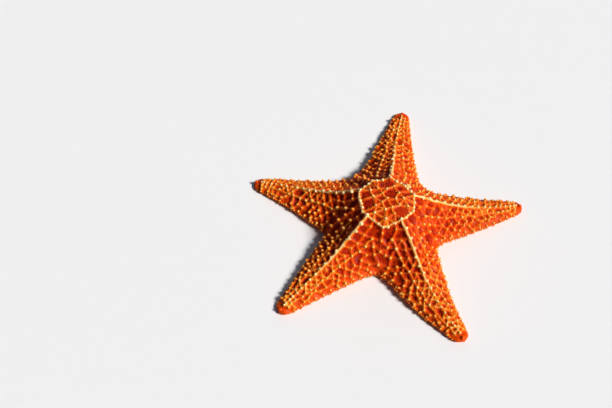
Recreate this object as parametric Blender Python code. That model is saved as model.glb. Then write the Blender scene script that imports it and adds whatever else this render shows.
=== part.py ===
"""Red cushion sea star lying flat on its underside, mouth down.

Lengths are in arm lengths, and metres() makes them real. A place on the body is given by an arm, a side of
that arm (+1 counterclockwise, -1 clockwise), a station along the arm and a share of the half width: share 0
is the arm's middle line and share 1 its outline, or the line to the next arm where both belong to the disc.
"""
import math
from collections import namedtuple

import bmesh
import bpy
from mathutils import Vector

# Size and plan of the animal.
ARM_LENGTH = 0.135        # metres, middle of the mouth to the tip of an ordinary arm
GAP = 0.0003              # metres, clearance between neighbouring solids
Arm = namedtuple("Arm", "bearing reach bow")      # degrees from +X, length, sideways bow of the middle line
ARMS = (
    Arm(10.0, 1.000, -0.010),
    Arm(79.2, 1.110, 0.012),
    Arm(156.6, 0.990, -0.016),
    Arm(223.8, 0.990, -0.004),
    Arm(297.2, 1.005, -0.026),
)
BAYS = (0.448, 0.474, 0.424, 0.415, 0.407)        # distance out to the bay that follows each arm
SHOULDER = 0.345          # station where the arms leave the disc
ROOT_WIDTH = 0.220        # half width of an arm at the shoulder
END_WIDTH = 0.049         # half width of an arm where its tip starts to round
TIP_ROUND = 0.055         # length of the rounded tip
BAY_EASE = 0.10           # how far past the shoulder the uneven bays still shift the stations

# Heights above the ground.
CROWN = 0.343             # middle of the disc
CREST_FALL = 0.38         # length over which the arm's crest falls to a third of its height
CORNER = 0.20             # station where the flat crown ends and the crest starts to fall
CORNER_SOFT = 0.03
CREST_LENGTH = 0.3        # past the corner, length over which the disc's flanks become an arm's
CROWN_EDGE = 0.165        # distance out at which the flat crown ends between two arms
BAY_SLOPE = 1.05          # powers that shape the slopes: 1 is straight, more is rounder at the top
DISC_SLOPE = 1.5
ARM_SLOPE = 1.2
RIM = 0.072               # top of the marginal plates, at the shoulder
RIM_END = 0.036           # and at the tip
WAIST = 0.033             # widest level of the body, at the shoulder
WAIST_END = 0.020         # and at the tip
RIM_ROUND = 0.035         # width of the rounded rim above the waist
HEEL_ROUND = 0.028        # width of the rounded edge under the waist

# Underside.
GROOVE = 0.022            # half width of the groove that runs under each arm
GROOVE_FLOOR = 0.016
GROOVE_DEPTH = 0.028
GROOVE_LIMIT = 0.35       # share of the half width that the groove may take near the tip
DEPTH_LIMIT = 0.45        # and its depth
HEEL_LIMIT = 0.45         # and the rounded edge
MOUTH_HOLLOW = 0.045
MOUTH_LIP = 0.055
MOUTH_SKIN = 0.038        # radius of the skin that closes the mouth

# Plates and bumps.
PLATES = 14               # marginal plates along one side of one arm
BUMP = 0.006              # height of the blunt knobs
BUMP_ROOM = 0.10          # half width under which the knobs shrink
DISC_TOP = (0.0, 0.06, 0.115, 0.165, 0.205, 0.24, 0.275, 0.31, 0.33, SHOULDER)
DISC_UNDER = (0.0, MOUTH_HOLLOW, MOUTH_LIP, 0.15, 0.315, SHOULDER)
SHARES = (0.0, 0.16, 0.34, 0.52, 0.70, 0.86, 1.0)
DISC_CUT = 1.5            # half plates past the shoulder where the disc ends
TIP_CUT = 26.5            # half plates past the shoulder where the eye plate starts
TIP_BEND = 27.7           # last section before the very end

# Sieve plate (madreporite), beside the crown between the first two arms, in metres.
SIEVE_STATION = 0.178
SIEVE_SHARE = 0.93
SIEVE_RADIUS = 0.0026
SIEVE_FOOT = -0.0014
SIEVE_SHOULDER = 0.0004
SIEVE_TOP = 0.0009
SIEVE_CROWN = 0.7         # share of the radius and of the height where its rim turns over
SIEVE_TURN = 0.85
SIEVE_SIDES = 18

# Skin that closes the mouth: (share of its radius, share of the hollow's height) from the middle out.
MOUTH_PROFILE = ((0.0, 0.3), (0.6, 0.35), (1.0, 0.7), (1.0, 1.0), (0.0, 1.0))
MOUTH_SIDES = 20

SHARP_ANGLE = 50          # degrees, past which an edge is shaded sharp

COLOURS = {
    "disc": (0.58, 0.075, 0.012),
    "arm": (0.66, 0.095, 0.015),
    "tip": (0.70, 0.11, 0.02),
    "sieve": (0.78, 0.42, 0.16),
    "mouth": (0.72, 0.45, 0.26),
}


def metres(x, y, z):
    return Vector((x, y, z)) * ARM_LENGTH


def soft_ramp(x, width):
    """Zero below x = 0 and x above it, with a rounded corner."""
    return 0.5 * (x + math.sqrt(x * x + width * width))


def smoothstep(x):
    x = min(1.0, max(0.0, x))
    return x * x * (3 - 2 * x)


def quarter_round(e):
    """Height of a quarter circle, 0 at its edge (e = 0) and 1 from e = 1 on."""
    e = min(1.0, max(0.0, e))
    return math.sqrt(1 - (1 - e) ** 2)


class Half:
    """One side of one arm, with its part of the disc."""

    def __init__(self, index, side):
        self.arm = ARMS[index]
        self.side = side
        turn = side * (ARMS[(index + side) % len(ARMS)].bearing - self.arm.bearing) % 360
        self.gap = math.radians(turn) / 2
        self.bay = BAYS[index if side > 0 else index - 1]
        self.bay_s = self.bay * math.cos(self.gap)
        self.taper = (END_WIDTH - ROOT_WIDTH) / (self.arm.reach - SHOULDER)
        self.spare = self.bay * math.sin(self.gap) - self.straight_width(self.bay_s)
        self.fillet = self.spare / (1 / math.tan(self.gap) + self.taper)
        self.half_plate = (self.arm.reach - SHOULDER) / (2 * PLATES)

    def straight_width(self, s):
        return ROOT_WIDTH + self.taper * (s - SHOULDER)

    def bay_curve(self, s):
        return self.spare * math.exp(-(s - self.bay_s) / self.fillet)

    def half_width(self, s):
        if s <= self.bay_s:
            return s * math.tan(self.gap)
        past = max(0.0, (s - self.arm.reach + TIP_ROUND) / TIP_ROUND)
        return (self.straight_width(s) + self.bay_curve(s)) * math.sqrt(max(0.0, 1 - past * past))

    def room(self, station):
        """Size of the body at a station, the same on both sides of an arm."""
        past = max(0.0, (station - self.arm.reach + TIP_ROUND) / TIP_ROUND)
        return min(station, self.straight_width(station) * math.sqrt(max(0.0, 1 - past * past)))

    def outline_s(self, station):
        """Distance along the arm of the outline's point at a station."""
        if station <= SHOULDER:
            return station * self.bay_s / SHOULDER
        ease = math.exp(-((station - SHOULDER) / BAY_EASE) ** 2)
        return station + (self.bay_s - SHOULDER) * ease

    def plan(self, station, share, proud=0.0):
        """Distances along the arm and sideways, with proud pushing the outline outwards."""
        s_edge = self.outline_s(station)
        s = station + (s_edge - station) * share
        t = share * self.half_width(s_edge) + proud
        return s, t

    def edge_distance(self, station, share):
        s, t = self.plan(station, share)
        if station <= SHOULDER:
            return self.bay - math.hypot(s, t)
        s_edge = self.outline_s(station)
        lean = self.taper - self.bay_curve(s_edge) / self.fillet
        return (1 - share) * self.half_width(s_edge) / math.hypot(1, lean)

    def heel_share(self, station):
        """Share where the flat underside ends and the rounded heel begins."""
        s_edge = max(self.outline_s(station), self.bay_s)
        lean = self.taper - self.bay_curve(s_edge) / self.fillet
        return 1 - min(HEEL_LIMIT, HEEL_ROUND * math.hypot(1, lean) / max(1e-6, self.half_width(s_edge)))

    def place(self, station, s, t, z):
        """World position of a point of a station, at s along the arm, t sideways and z up."""
        sideways = self.side * t + self.arm.bow * math.sin(math.pi * self.along(station))
        turn = math.radians(self.arm.bearing)
        x = s * math.cos(turn) - sideways * math.sin(turn)
        y = s * math.sin(turn) + sideways * math.cos(turn)
        return metres(x, y, z)

    def along(self, station):
        """0 at the shoulder and 1 at the tip."""
        return max(0.0, (station - SHOULDER) / (self.arm.reach - SHOULDER))

    def waist(self, station):
        return WAIST + (WAIST_END - WAIST) * self.along(station)

    def top_height(self, station, share):
        crest = CROWN * math.exp(-soft_ramp(station - CORNER, CORNER_SOFT) / CREST_FALL)
        rim = RIM + (RIM_END - RIM) * self.along(station)
        if station < SHOULDER:
            out = station * self.bay / SHOULDER
            fall = soft_ramp(out - CROWN_EDGE, CORNER_SOFT) / (self.bay - CROWN_EDGE)
            rim = RIM + (CROWN - RIM) * (1 - min(1.0, fall) ** BAY_SLOPE)
        on_arm = smoothstep((station - CORNER) / CREST_LENGTH)
        flank = (1 - on_arm) * (1 - share) ** DISC_SLOPE + on_arm * (1 - share ** ARM_SLOPE)
        if station == 0:          # all shares meet in the middle of the disc
            flank = 1.0
        height = rim + (crest - rim) * flank
        waist = self.waist(station)
        return waist + (height - waist) * quarter_round(self.edge_distance(station, share) / RIM_ROUND)

    def top_point(self, station, share, knob):
        """Point of the upper surface; knob is 1 on a knob and 0 beside it."""
        size = BUMP * knob * min(1.0, self.room(station) / BUMP_ROOM)
        if share < 1.0:
            return self.place(station, *self.plan(station, share), self.top_height(station, share) + size)
        if station <= SHOULDER:
            return self.place(station, *self.plan(station, share), self.top_height(station, share))
        return self.place(station, *self.plan(station, share, size), self.waist(station))

    def under_points(self, station):
        """Underside from the outline in to the middle of the groove, without the outline's own point."""
        room = self.room(station)
        lip = min(GROOVE, GROOVE_LIMIT * room)
        floor = lip * GROOVE_FLOOR / GROOVE
        depth = min(GROOVE_DEPTH, DEPTH_LIMIT * room)
        heel = self.plan(station, self.heel_share(station))
        points = [(*heel, 0.0), (station, lip, 0.0), (station, floor, depth), (station, 0.0, depth)]
        if station <= MOUTH_HOLLOW:
            points = [(s, t, GROOVE_DEPTH) for s, t, z in points]
        return [self.place(station, *point) for point in points]

    def under_edge(self, station):
        """Underside's point at share 1, on the line to the next arm's part of the disc."""
        s, t = self.plan(station, 1.0)
        roof = GROOVE_DEPTH if station <= MOUTH_HOLLOW else 0.0
        rise = WAIST * (1 - quarter_round(self.edge_distance(station, 1.0) / HEEL_ROUND))
        return self.place(station, s, t, max(roof, rise))

    def sections(self, first, last):
        """Stations from one cut to another, in half plates past the shoulder, each with its knob row."""
        rows = [(first, None)]
        rows += [(k, k) for k in range(math.ceil(first), math.ceil(last)) if k > first]
        rows += [(last, None)]
        return [(SHOULDER + k * self.half_plate, row) for k, row in rows]

    def top_row(self, station, row):
        """One section of the upper surface; knobs stand on every other place of a chequerboard."""
        knobs = [row is not None and (row + column) % 2 == 0 for column in range(len(SHARES))]
        return [self.top_point(station, share, knob) for share, knob in zip(SHARES, knobs)]

    def ring(self, station, row):
        return self.top_row(station, row) + self.under_points(station)


def add_sheet(bm, rows):
    """Quads between successive rows of points, as a loose sheet that is welded later."""
    grid = [[bm.verts.new(point) for point in row] for row in rows]
    for near, far in zip(grid, grid[1:]):
        for j in range(len(near) - 1):
            bm.faces.new((near[j], near[j + 1], far[j + 1], far[j]))


def add_cap(bm, ring):
    bm.faces.new([bm.verts.new(point) for point in ring])


def finish(name, bm, colour, roughness):
    """Weld the sheets into one closed body and make it an object with its own material."""
    bmesh.ops.remove_doubles(bm, verts=bm.verts, dist=1e-6)
    bmesh.ops.triangulate(bm, faces=bm.faces)
    bmesh.ops.recalc_face_normals(bm, faces=bm.faces)
    mesh = bpy.data.meshes.new(name)
    bm.to_mesh(mesh)
    bm.free()
    mesh.shade_smooth()
    mesh.set_sharp_from_angle(angle=math.radians(SHARP_ANGLE))
    material = bpy.data.materials.new(name)
    material.use_nodes = True
    shader = material.node_tree.nodes["Principled BSDF"]
    shader.inputs["Base Color"].default_value = (*colour, 1.0)
    shader.inputs["Roughness"].default_value = roughness
    shader.inputs["Metallic"].default_value = 0.0
    mesh.materials.append(material)
    obj = bpy.data.objects.new(name, mesh)
    bpy.context.scene.collection.objects.link(obj)
    return obj


def arm_halves(index):
    return Half(index, 1), Half(index, -1)


def build_disc():
    bm = bmesh.new()
    half_gap = GAP / ARM_LENGTH / 2
    for index in range(len(ARMS)):
        for half in arm_halves(index):
            end = DISC_CUT - half_gap / half.half_plate
            add_sheet(bm, [half.top_row(station, row) for row, station in enumerate(DISC_TOP)])
            add_sheet(bm, [[half.under_edge(k)] + half.under_points(k) for k in DISC_UNDER])
            # The outline's own point closes the last strip, where upper and lower surface meet.
            stub = [half.ring(station, row) for station, row in half.sections(0, end)]
            stub[0] = half.top_row(SHOULDER, len(DISC_TOP) - 1) + half.under_points(SHOULDER)
            add_sheet(bm, stub)
            add_cap(bm, stub[-1])
    return finish("disc", bm, COLOURS["disc"], 0.45)


def build_arm(index):
    bm = bmesh.new()
    half_gap = GAP / ARM_LENGTH / 2
    for half in arm_halves(index):
        trim = half_gap / half.half_plate
        rings = [half.ring(station, row) for station, row in half.sections(DISC_CUT + trim, TIP_CUT - trim)]
        add_sheet(bm, rings)
        add_cap(bm, rings[0])
        add_cap(bm, rings[-1])
    return finish(f"arm_{index + 1}", bm, COLOURS["arm"], 0.45)


def build_tip(index):
    """Rounded end of an arm, with the small plate that carries the eyespot."""
    bm = bmesh.new()
    half_gap = GAP / ARM_LENGTH / 2
    for half in arm_halves(index):
        trim = half_gap / half.half_plate
        rings = [half.ring(station, None) for station, row in half.sections(TIP_CUT + trim, TIP_BEND)]
        rings.append(half.ring(half.arm.reach, None))
        add_sheet(bm, rings)
        add_cap(bm, rings[0])
    return finish(f"tip_{index + 1}", bm, COLOURS["tip"], 0.40)


def turned(profile, steps):
    """Closed body turned about Z from (radius, height) points that start and end on the axis."""
    bm = bmesh.new()
    verts = [bm.verts.new((radius, 0.0, height)) for radius, height in profile]
    edges = [bm.edges.new(pair) for pair in zip(verts, verts[1:])]
    bmesh.ops.spin(bm, geom=verts + edges, cent=(0, 0, 0), axis=(0, 0, 1), angle=math.tau, steps=steps,
                   use_merge=False)
    return bm


def build_sieve(disc):
    """Sieve plate in a round seat that is cut into the disc."""
    half = Half(0, 1)
    step = 0.01

    def surface(station, share):
        return half.place(station, *half.plan(station, share), half.top_height(station, share))

    centre = surface(SIEVE_STATION, SIEVE_SHARE)
    along = surface(SIEVE_STATION + step, SIEVE_SHARE) - surface(SIEVE_STATION - step, SIEVE_SHARE)
    across = surface(SIEVE_STATION, SIEVE_SHARE + step) - surface(SIEVE_STATION, SIEVE_SHARE - step)
    turn = along.cross(across).normalized().to_track_quat("Z", "Y").to_matrix().to_4x4()
    turn.translation = centre

    bm = turned([(0, SIEVE_FOOT), (SIEVE_RADIUS, SIEVE_FOOT), (SIEVE_RADIUS, SIEVE_SHOULDER),
                 (SIEVE_CROWN * SIEVE_RADIUS, SIEVE_TURN * SIEVE_TOP), (0, SIEVE_TOP)], SIEVE_SIDES)
    bm.transform(turn)
    sieve = finish("sieve_plate", bm, COLOURS["sieve"], 0.55)

    seat_bm = bmesh.new()
    reach = 4 * SIEVE_RADIUS
    bmesh.ops.create_cone(seat_bm, cap_ends=True, segments=SIEVE_SIDES, radius1=SIEVE_RADIUS + GAP,
                          radius2=SIEVE_RADIUS + GAP, depth=reach)
    bmesh.ops.translate(seat_bm, verts=seat_bm.verts, vec=(0, 0, SIEVE_FOOT - GAP + reach / 2))
    seat_bm.transform(turn)
    seat = finish("sieve_seat_cutter", seat_bm, COLOURS["sieve"], 0.5)
    seat.hide_render = True
    seat.display_type = "WIRE"
    cut = disc.modifiers.new("sieve_seat", "BOOLEAN")
    cut.operation = "DIFFERENCE"
    cut.solver = "EXACT"
    cut.object = seat
    return sieve


def build_mouth():
    """Skin that closes the mouth, just under the roof of its hollow."""
    radius = MOUTH_SKIN * ARM_LENGTH
    roof = GROOVE_DEPTH * ARM_LENGTH - GAP
    bm = turned([(out * radius, up * roof) for out, up in MOUTH_PROFILE], MOUTH_SIDES)
    return finish("mouth", bm, COLOURS["mouth"], 0.45)


def centre_on_footprint(objects):
    """Move everything so that the middle of its bounding box is over the origin."""
    corners = [vert.co for obj in objects for vert in obj.data.vertices]
    shift = [-(min(c[k] for c in corners) + max(c[k] for c in corners)) / 2 for k in (0, 1)]
    for obj in bpy.context.scene.objects:
        obj.location = (*shift, 0.0)


def main():
    for obj in list(bpy.data.objects):
        bpy.data.objects.remove(obj)
    disc = build_disc()
    parts = [disc, build_sieve(disc), build_mouth()]
    for index in range(len(ARMS)):
        parts.append(build_arm(index))
        parts.append(build_tip(index))
    centre_on_footprint(parts)


main()
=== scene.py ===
# %% [markdown]
# # A red cushion sea star
#
# This notebook dresses the plain solids of a sea star with everything that the eye sees: one continuous
# skin with a raised net of ridges, blunt knobs where ridges meet, a pebbling of small granules, spines
# along the edge, the sieve plate on the back, and the mouth, the grooves and the tube feet underneath.
#
# The solids come first. They are a fixed frame in metres, so every piece below is placed from them and
# nothing has to be fitted afterwards.

# %% Load the solids
import math

import bpy
import numpy as np
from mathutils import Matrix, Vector, noise
from mathutils.bvhtree import BVHTree
from mathutils.kdtree import KDTree


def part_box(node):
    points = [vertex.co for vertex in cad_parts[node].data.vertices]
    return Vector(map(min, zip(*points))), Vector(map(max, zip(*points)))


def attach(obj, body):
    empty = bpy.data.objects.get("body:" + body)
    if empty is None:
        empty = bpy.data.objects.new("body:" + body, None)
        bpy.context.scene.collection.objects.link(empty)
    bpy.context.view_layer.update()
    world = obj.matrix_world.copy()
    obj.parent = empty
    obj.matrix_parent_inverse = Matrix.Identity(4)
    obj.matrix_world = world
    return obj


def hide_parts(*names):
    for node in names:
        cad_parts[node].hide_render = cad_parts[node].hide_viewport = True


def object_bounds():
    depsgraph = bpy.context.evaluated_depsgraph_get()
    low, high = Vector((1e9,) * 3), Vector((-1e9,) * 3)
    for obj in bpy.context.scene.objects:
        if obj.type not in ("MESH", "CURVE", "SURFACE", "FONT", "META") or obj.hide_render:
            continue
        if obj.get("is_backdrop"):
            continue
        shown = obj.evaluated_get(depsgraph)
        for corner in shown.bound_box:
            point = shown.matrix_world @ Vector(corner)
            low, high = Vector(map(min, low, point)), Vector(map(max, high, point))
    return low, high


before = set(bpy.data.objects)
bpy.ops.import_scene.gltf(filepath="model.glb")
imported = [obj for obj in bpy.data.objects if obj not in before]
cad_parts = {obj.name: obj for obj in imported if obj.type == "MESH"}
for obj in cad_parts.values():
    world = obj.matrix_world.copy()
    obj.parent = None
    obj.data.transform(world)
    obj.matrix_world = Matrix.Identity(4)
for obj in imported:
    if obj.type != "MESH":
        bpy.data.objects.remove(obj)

CAD_BOX = [list(corner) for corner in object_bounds()]
MOUTH_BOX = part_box("mouth")
CENTRE = np.array([(MOUTH_BOX[0][k] + MOUTH_BOX[1][k]) / 2 for k in (0, 1)])
print("solids", len(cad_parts), "centre of the disc", CENTRE.round(4))

# %% [markdown]
# A sea star is laid out round its mouth, so its sizes are easiest to give in arm lengths. Each arm has a
# bearing, a length and a slight sideways bow. Between two arms lies a bay, at its own distance from the
# middle. No two arms are alike, and that is what keeps the model from looking stamped out.

# %% The plan of the animal, in arm lengths
ARM_LENGTH = 0.135            # metres
ARMS = ((10.0, 1.000, -0.010), (79.2, 1.110, 0.012), (156.6, 0.990, -0.016),
        (223.8, 0.990, -0.004), (297.2, 1.005, -0.026))       # bearing in degrees, length, bow
BAYS = (0.448, 0.474, 0.424, 0.415, 0.407)                    # distance to the bay after each arm
SHOULDER = 0.345              # where the arms leave the disc
MM = 0.001 / ARM_LENGTH       # one millimetre in arm lengths
RNG = np.random.default_rng(11)
print("arm lengths in mm", [round(reach * ARM_LENGTH * 1000) for _, reach, _ in ARMS])

# %% [markdown]
# The skin is a little smaller than the solids everywhere, by the depth of the coat of knobs and spines that
# will stand on it. So each size of the body is given less a share of that coat.

# %% Sizes of the bare body
COAT = 0.0094                 # depth of the coat: about 1.3 mm
ROOT_WIDTH = 0.220 - COAT     # half width of an arm at its root and at its end
END_WIDTH = 0.049 - 0.7 * COAT
TIP_ROUND = 0.055
BAY_EASE = 0.10
CROWN = 0.343 - 1.5 * COAT    # height of the middle of the back
CREST_FALL = 0.38             # how fast the crest sinks along the arm
CORNER, FLAT_TOP = 0.20, 0.165
RIM, RIM_END = 0.072 - COAT, 0.036 - 0.5 * COAT
WAIST, WAIST_END = 0.033, 0.020                               # height of the widest line
RIM_ROUND, HEEL_ROUND = 0.035, 0.028
GROOVE, GROOVE_DEPTH, MOUTH_RADIUS = 0.024, 0.030, 0.052
LIFT = 0.5 * MM               # the skin underneath stands this far off the ground, on its granules
print("coat depth in mm", round(COAT / MM, 2), "height in mm", round(CROWN / MM, 1))

# %% [markdown]
# Soft bodies have no sudden corners, so their curves are blended from a few easing functions: one that
# glides from 0 to 1, a ramp with a rounded foot, and a quarter of a circle for rounded edges.

# %% Easing curves


def smoothstep(x):
    x = np.clip(x, 0.0, 1.0)
    return x * x * (3 - 2 * x)


def soft_ramp(x, width=0.03):
    return 0.5 * (x + np.sqrt(x * x + width * width))


def quarter_round(x):
    return np.sqrt(1 - (1 - np.clip(x, 0.0, 1.0)) ** 2)


def bell(distance, width):
    return np.exp(-(distance / width) ** 2)


print("smoothstep at a quarter", float(smoothstep(0.25)))

# %% [markdown]
# The body is described as ten halves, one for each side of each arm with its part of the disc. First comes
# the outline seen from above: a straight taper, a fillet that swings into the bay, and a rounded tip. A
# traced curve would give the same line, but a formula can be asked for its width anywhere.

# %% The outline of half an arm


class Outline:
    """Widths of one side of one arm, in arm lengths."""

    def __init__(self, index, side):
        self.index, self.side = index, side
        self.bearing, reach, self.bow = ARMS[index]
        self.reach = reach - 0.8 * COAT
        turn = side * (ARMS[(index + side) % len(ARMS)][0] - self.bearing) % 360
        self.gap = math.radians(turn) / 2
        self.bay = BAYS[index if side > 0 else index - 1] - COAT
        self.bay_s = self.bay * math.cos(self.gap)
        self.taper = (END_WIDTH - ROOT_WIDTH) / (self.reach - SHOULDER)
        self.spare = self.bay * math.sin(self.gap) - self.straight_width(self.bay_s)
        self.fillet = self.spare / (1 / math.tan(self.gap) + self.taper)

    def straight_width(self, s):
        return ROOT_WIDTH + self.taper * (s - SHOULDER)

    def tip_factor(self, s):
        return np.sqrt(1 - np.clip((s - self.reach + TIP_ROUND) / TIP_ROUND, 0, 1) ** 2)

    def bay_curve(self, s):
        return self.spare * np.exp(-np.maximum(0, s - self.bay_s) / self.fillet)

    def half_width(self, s):
        arm = (self.straight_width(s) + self.bay_curve(s)) * self.tip_factor(s)
        return np.where(s <= self.bay_s, s * math.tan(self.gap), arm)


print("fillets in mm", [round(Outline(index, 1).fillet / MM, 1) for index in range(len(ARMS))])

# %% [markdown]
# A point of a half has a station along the arm and a share of the half width. Share 0 is the middle line of
# the arm. Share 1 is its outline or, on the disc, the line to the next arm. Both arms beside such a line
# give it the same points, so the ten halves meet without a gap.

# %% Stations and shares


class Grid(Outline):
    """Places on the plan, by station and share."""

    def room(self, station):
        return np.minimum(station, self.straight_width(station) * self.tip_factor(station))

    def along(self, station):
        return np.maximum(0.0, (station - SHOULDER) / (self.reach - SHOULDER))

    def outline_s(self, station):
        ease = bell(np.maximum(0, station - SHOULDER), BAY_EASE)
        on_arm = station + (self.bay_s - SHOULDER) * ease
        return np.where(station <= SHOULDER, station * self.bay_s / SHOULDER, on_arm)

    def plan(self, station, share):
        s_edge = self.outline_s(station)
        return station + (s_edge - station) * share, share * self.half_width(s_edge)

    def edge_distance(self, station, share):
        s, t = self.plan(station, share)
        s_edge = self.outline_s(station)
        lean = self.taper - self.bay_curve(s_edge) / self.fillet
        on_arm = (1 - share) * self.half_width(s_edge) / np.hypot(1, lean)
        distance = np.where(station <= SHOULDER, self.bay - np.hypot(s, t), on_arm)
        return np.where(distance < 1e-9, 0.0, distance)


print("half way out on the first arm", [round(float(x), 3) for x in Grid(0, 1).plan(0.6, 0.5)])

# %% [markdown]
# Now the heights. The back stands high over the disc and falls along each crest, its flanks slope down to a
# rim, and the rim rolls under. Underneath, a groove runs out along each arm from a hollow at the mouth.

# %% Heights of the back and of the underside
DISC_BULGE, DISC_FLANK, ARM_FLANK = 1.05, 1.5, 1.2            # bends of the slopes, where 1 is straight
DISC_TO_ARM = 0.3             # the disc's slope turns into the arm's over this length
LIP_SHARE, DEPTH_SHARE = 0.35, 0.45                           # a groove's limits, in half widths of the arm
GROOVE_WALL = 0.45            # share of the groove's half width that its wall takes
HOLLOW_WALL = 0.012


class Half(Grid):
    """One side of one arm, with heights and places in the frame."""

    def waist(self, station):
        return WAIST + (WAIST_END - WAIST) * self.along(station)

    def top_height(self, station, share):
        crest = CROWN * np.exp(-soft_ramp(station - CORNER) / CREST_FALL)
        rim = RIM + (RIM_END - RIM) * self.along(station)
        fall = soft_ramp(station * self.bay / SHOULDER - FLAT_TOP) / (self.bay - FLAT_TOP)
        on_disc = RIM + (CROWN - RIM) * (1 - np.minimum(1.0, fall) ** DISC_BULGE)
        rim = np.where(station < SHOULDER, on_disc, rim)
        on_arm = smoothstep((station - CORNER) / DISC_TO_ARM)
        flank = (1 - on_arm) * (1 - share) ** DISC_FLANK + on_arm * (1 - share ** ARM_FLANK)
        height = rim + (crest - rim) * np.where(station == 0, 1.0, flank)
        waist = self.waist(station)
        return waist + (height - waist) * quarter_round(self.edge_distance(station, share) / RIM_ROUND)

    def under_height(self, station, share):
        s, t = self.plan(station, share)
        lip = np.minimum(GROOVE, LIP_SHARE * self.room(station)) + 1e-6
        depth = np.minimum(GROOVE_DEPTH, DEPTH_SHARE * self.room(station))
        groove = LIFT + (depth - LIFT) * smoothstep((lip - t) / (GROOVE_WALL * lip))
        inside = smoothstep((MOUTH_RADIUS - np.hypot(s, t)) / HOLLOW_WALL)
        hollow = LIFT + (GROOVE_DEPTH - LIFT) * inside
        edge = self.edge_distance(station, share) / HEEL_ROUND
        heel = LIFT + (self.waist(station) - LIFT) * (1 - quarter_round(edge))
        return np.maximum(np.maximum(groove, hollow), heel)

    def point(self, station, share, top=True):
        """Points in metres in the shared frame."""
        station, share = np.broadcast_arrays(np.asarray(station, float), np.asarray(share, float))
        s, t = self.plan(station, share)
        z = (self.top_height if top else self.under_height)(station, share)
        sideways = self.side * t + self.bow * np.sin(np.pi * self.along(station))
        turn = math.radians(self.bearing)
        x = s * math.cos(turn) - sideways * math.sin(turn)
        y = s * math.sin(turn) + sideways * math.cos(turn)
        flat = np.stack([x * ARM_LENGTH + CENTRE[0], y * ARM_LENGTH + CENTRE[1]], -1)
        return np.concatenate([flat, (z * ARM_LENGTH)[..., None]], -1)


HALVES = [Half(index, side) for index in range(len(ARMS)) for side in (1, -1)]
LEFT_HALVES = [half for half in HALVES if half.side > 0]
print("halves", len(HALVES), "highest point in mm", round(float(HALVES[0].point(0, 0)[2]) * 1000, 1))

# %% [markdown]
# The skin needs an even weave of small triangles everywhere, because narrow ridges will be raised on it. A
# subdivided primitive would crowd its points at the middle and the tips and stretch them on the flanks. So
# this one piece is made another way: in rows of evenly spaced points, each row with as many as its length
# needs.

# %% Rows of evenly spaced points
TOP_STEP = 0.71 * MM
UNDER_STEP = 1.40 * MM
ROW_RATIO = 0.87              # rows are a little closer than the points in them, as in a triangular weave
FINE = np.linspace(0, 1, 160)


def stations(half):
    """Rows from the middle of the disc to the tip, evenly spaced round the tip's curve too."""
    step = ROW_RATIO * TOP_STEP
    disc = np.linspace(0, SHOULDER, math.ceil(SHOULDER / step) + 1)
    bend = half.reach - TIP_ROUND
    arm = np.linspace(SHOULDER, bend, math.ceil((bend - SHOULDER) / step) + 1)
    angle = np.linspace(0, math.pi / 2, math.ceil(TIP_ROUND * math.pi / 2 / step) + 1)
    return np.concatenate([disc, arm[1:], bend + TIP_ROUND * np.sin(angle[1:])])


def even_shares(half, station, step, top):
    """Shares that cut the row at a station into equal lengths of about one step."""
    line = half.point(station, FINE, top)
    length = np.concatenate([[0], np.cumsum(np.linalg.norm(np.diff(line, axis=0), axis=1))])
    if length[-1] < 1e-7:
        return np.array([0.0])
    count = max(1, round(length[-1] / ARM_LENGTH / step))
    return np.interp(np.linspace(0, length[-1], count + 1), length, FINE)


print("rows on the first arm", len(stations(HALVES[0])))

# %% [markdown]
# Neighbouring rows are stitched with triangles. Where one row has more points than the next, a stitch is
# added, as a knitter does. The unwrap is just as plain: one strip for each arm, with the backs in the left
# column and the undersides in the right one, so no two places of the skin share a spot on it.

# %% Stitches and unwrap
PAST_END = 2.0                # a share beyond the end of any row
LONGEST = max(reach for _, reach, _ in ARMS)
UV_START, UV_LENGTH, UV_HALF = 0.02, 0.96, 0.46               # room on the unwrap, with a free edge all round


def stitch(first, near, second, far):
    """Triangles between two rows of points, from the index of each row's first point and its shares."""
    faces, i, j = [], 0, 0
    while i < len(near) - 1 or j < len(far) - 1:
        next_near = near[i + 1] if i < len(near) - 1 else PAST_END
        next_far = far[j + 1] if j < len(far) - 1 else PAST_END
        if next_near <= next_far:
            faces.append((first + i, first + i + 1, second + j))
            i += 1
        else:
            faces.append((first + i, second + j + 1, second + j))
            j += 1
    return faces


def unwrap_place(half, station, share, top):
    u = (UV_START + UV_LENGTH * station / LONGEST + (0 if top else 1)) / 2
    v = (half.index + 0.5 + UV_HALF * half.side * share) / len(ARMS)
    return np.stack([u, v], -1)


print("stitches between rows of 3 and 4", len(stitch(0, np.linspace(0, 1, 3), 3, np.linspace(0, 1, 4))))

# %% [markdown]
# Each half gives two sheets, a back and an underside. Both sides of an arm must agree to the last digit on
# the middle line that they share, or the weld would leave a slit, so the right side borrows that line from
# the left.

# %% A sheet of half an arm


def half_sheet(half, top):
    """Points of the back or the underside of a half, their triangles, and each point's station and share."""
    points, faces, where, start, before = [], [], [], 0, None
    left = HALVES[2 * half.index]
    for station in stations(half):
        shares = even_shares(half, station, TOP_STEP if top else UNDER_STEP, top)
        if before is not None:
            faces += stitch(start - len(before), before, start, shares)
        row = half.point(station, shares, top)
        row[0] = left.point(station, 0.0, top)
        points.append(row)
        where.append(np.stack([np.full(len(shares), station), shares], -1))
        start += len(shares)
        before = shares
    faces = np.array(faces)
    if (half.side > 0) == top:
        faces = faces[:, ::-1]
    return np.concatenate(points), faces, np.concatenate(where)


print("points in one sheet", len(half_sheet(HALVES[0], True)[0]))

# %% [markdown]
# A mesh held as arrays can be measured before Blender sees it. Three helpers are enough: the outward
# direction at each point, the volume in litres, and the number of edges that don't have a triangle on both
# sides.

# %% Helpers for a mesh as arrays


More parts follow.
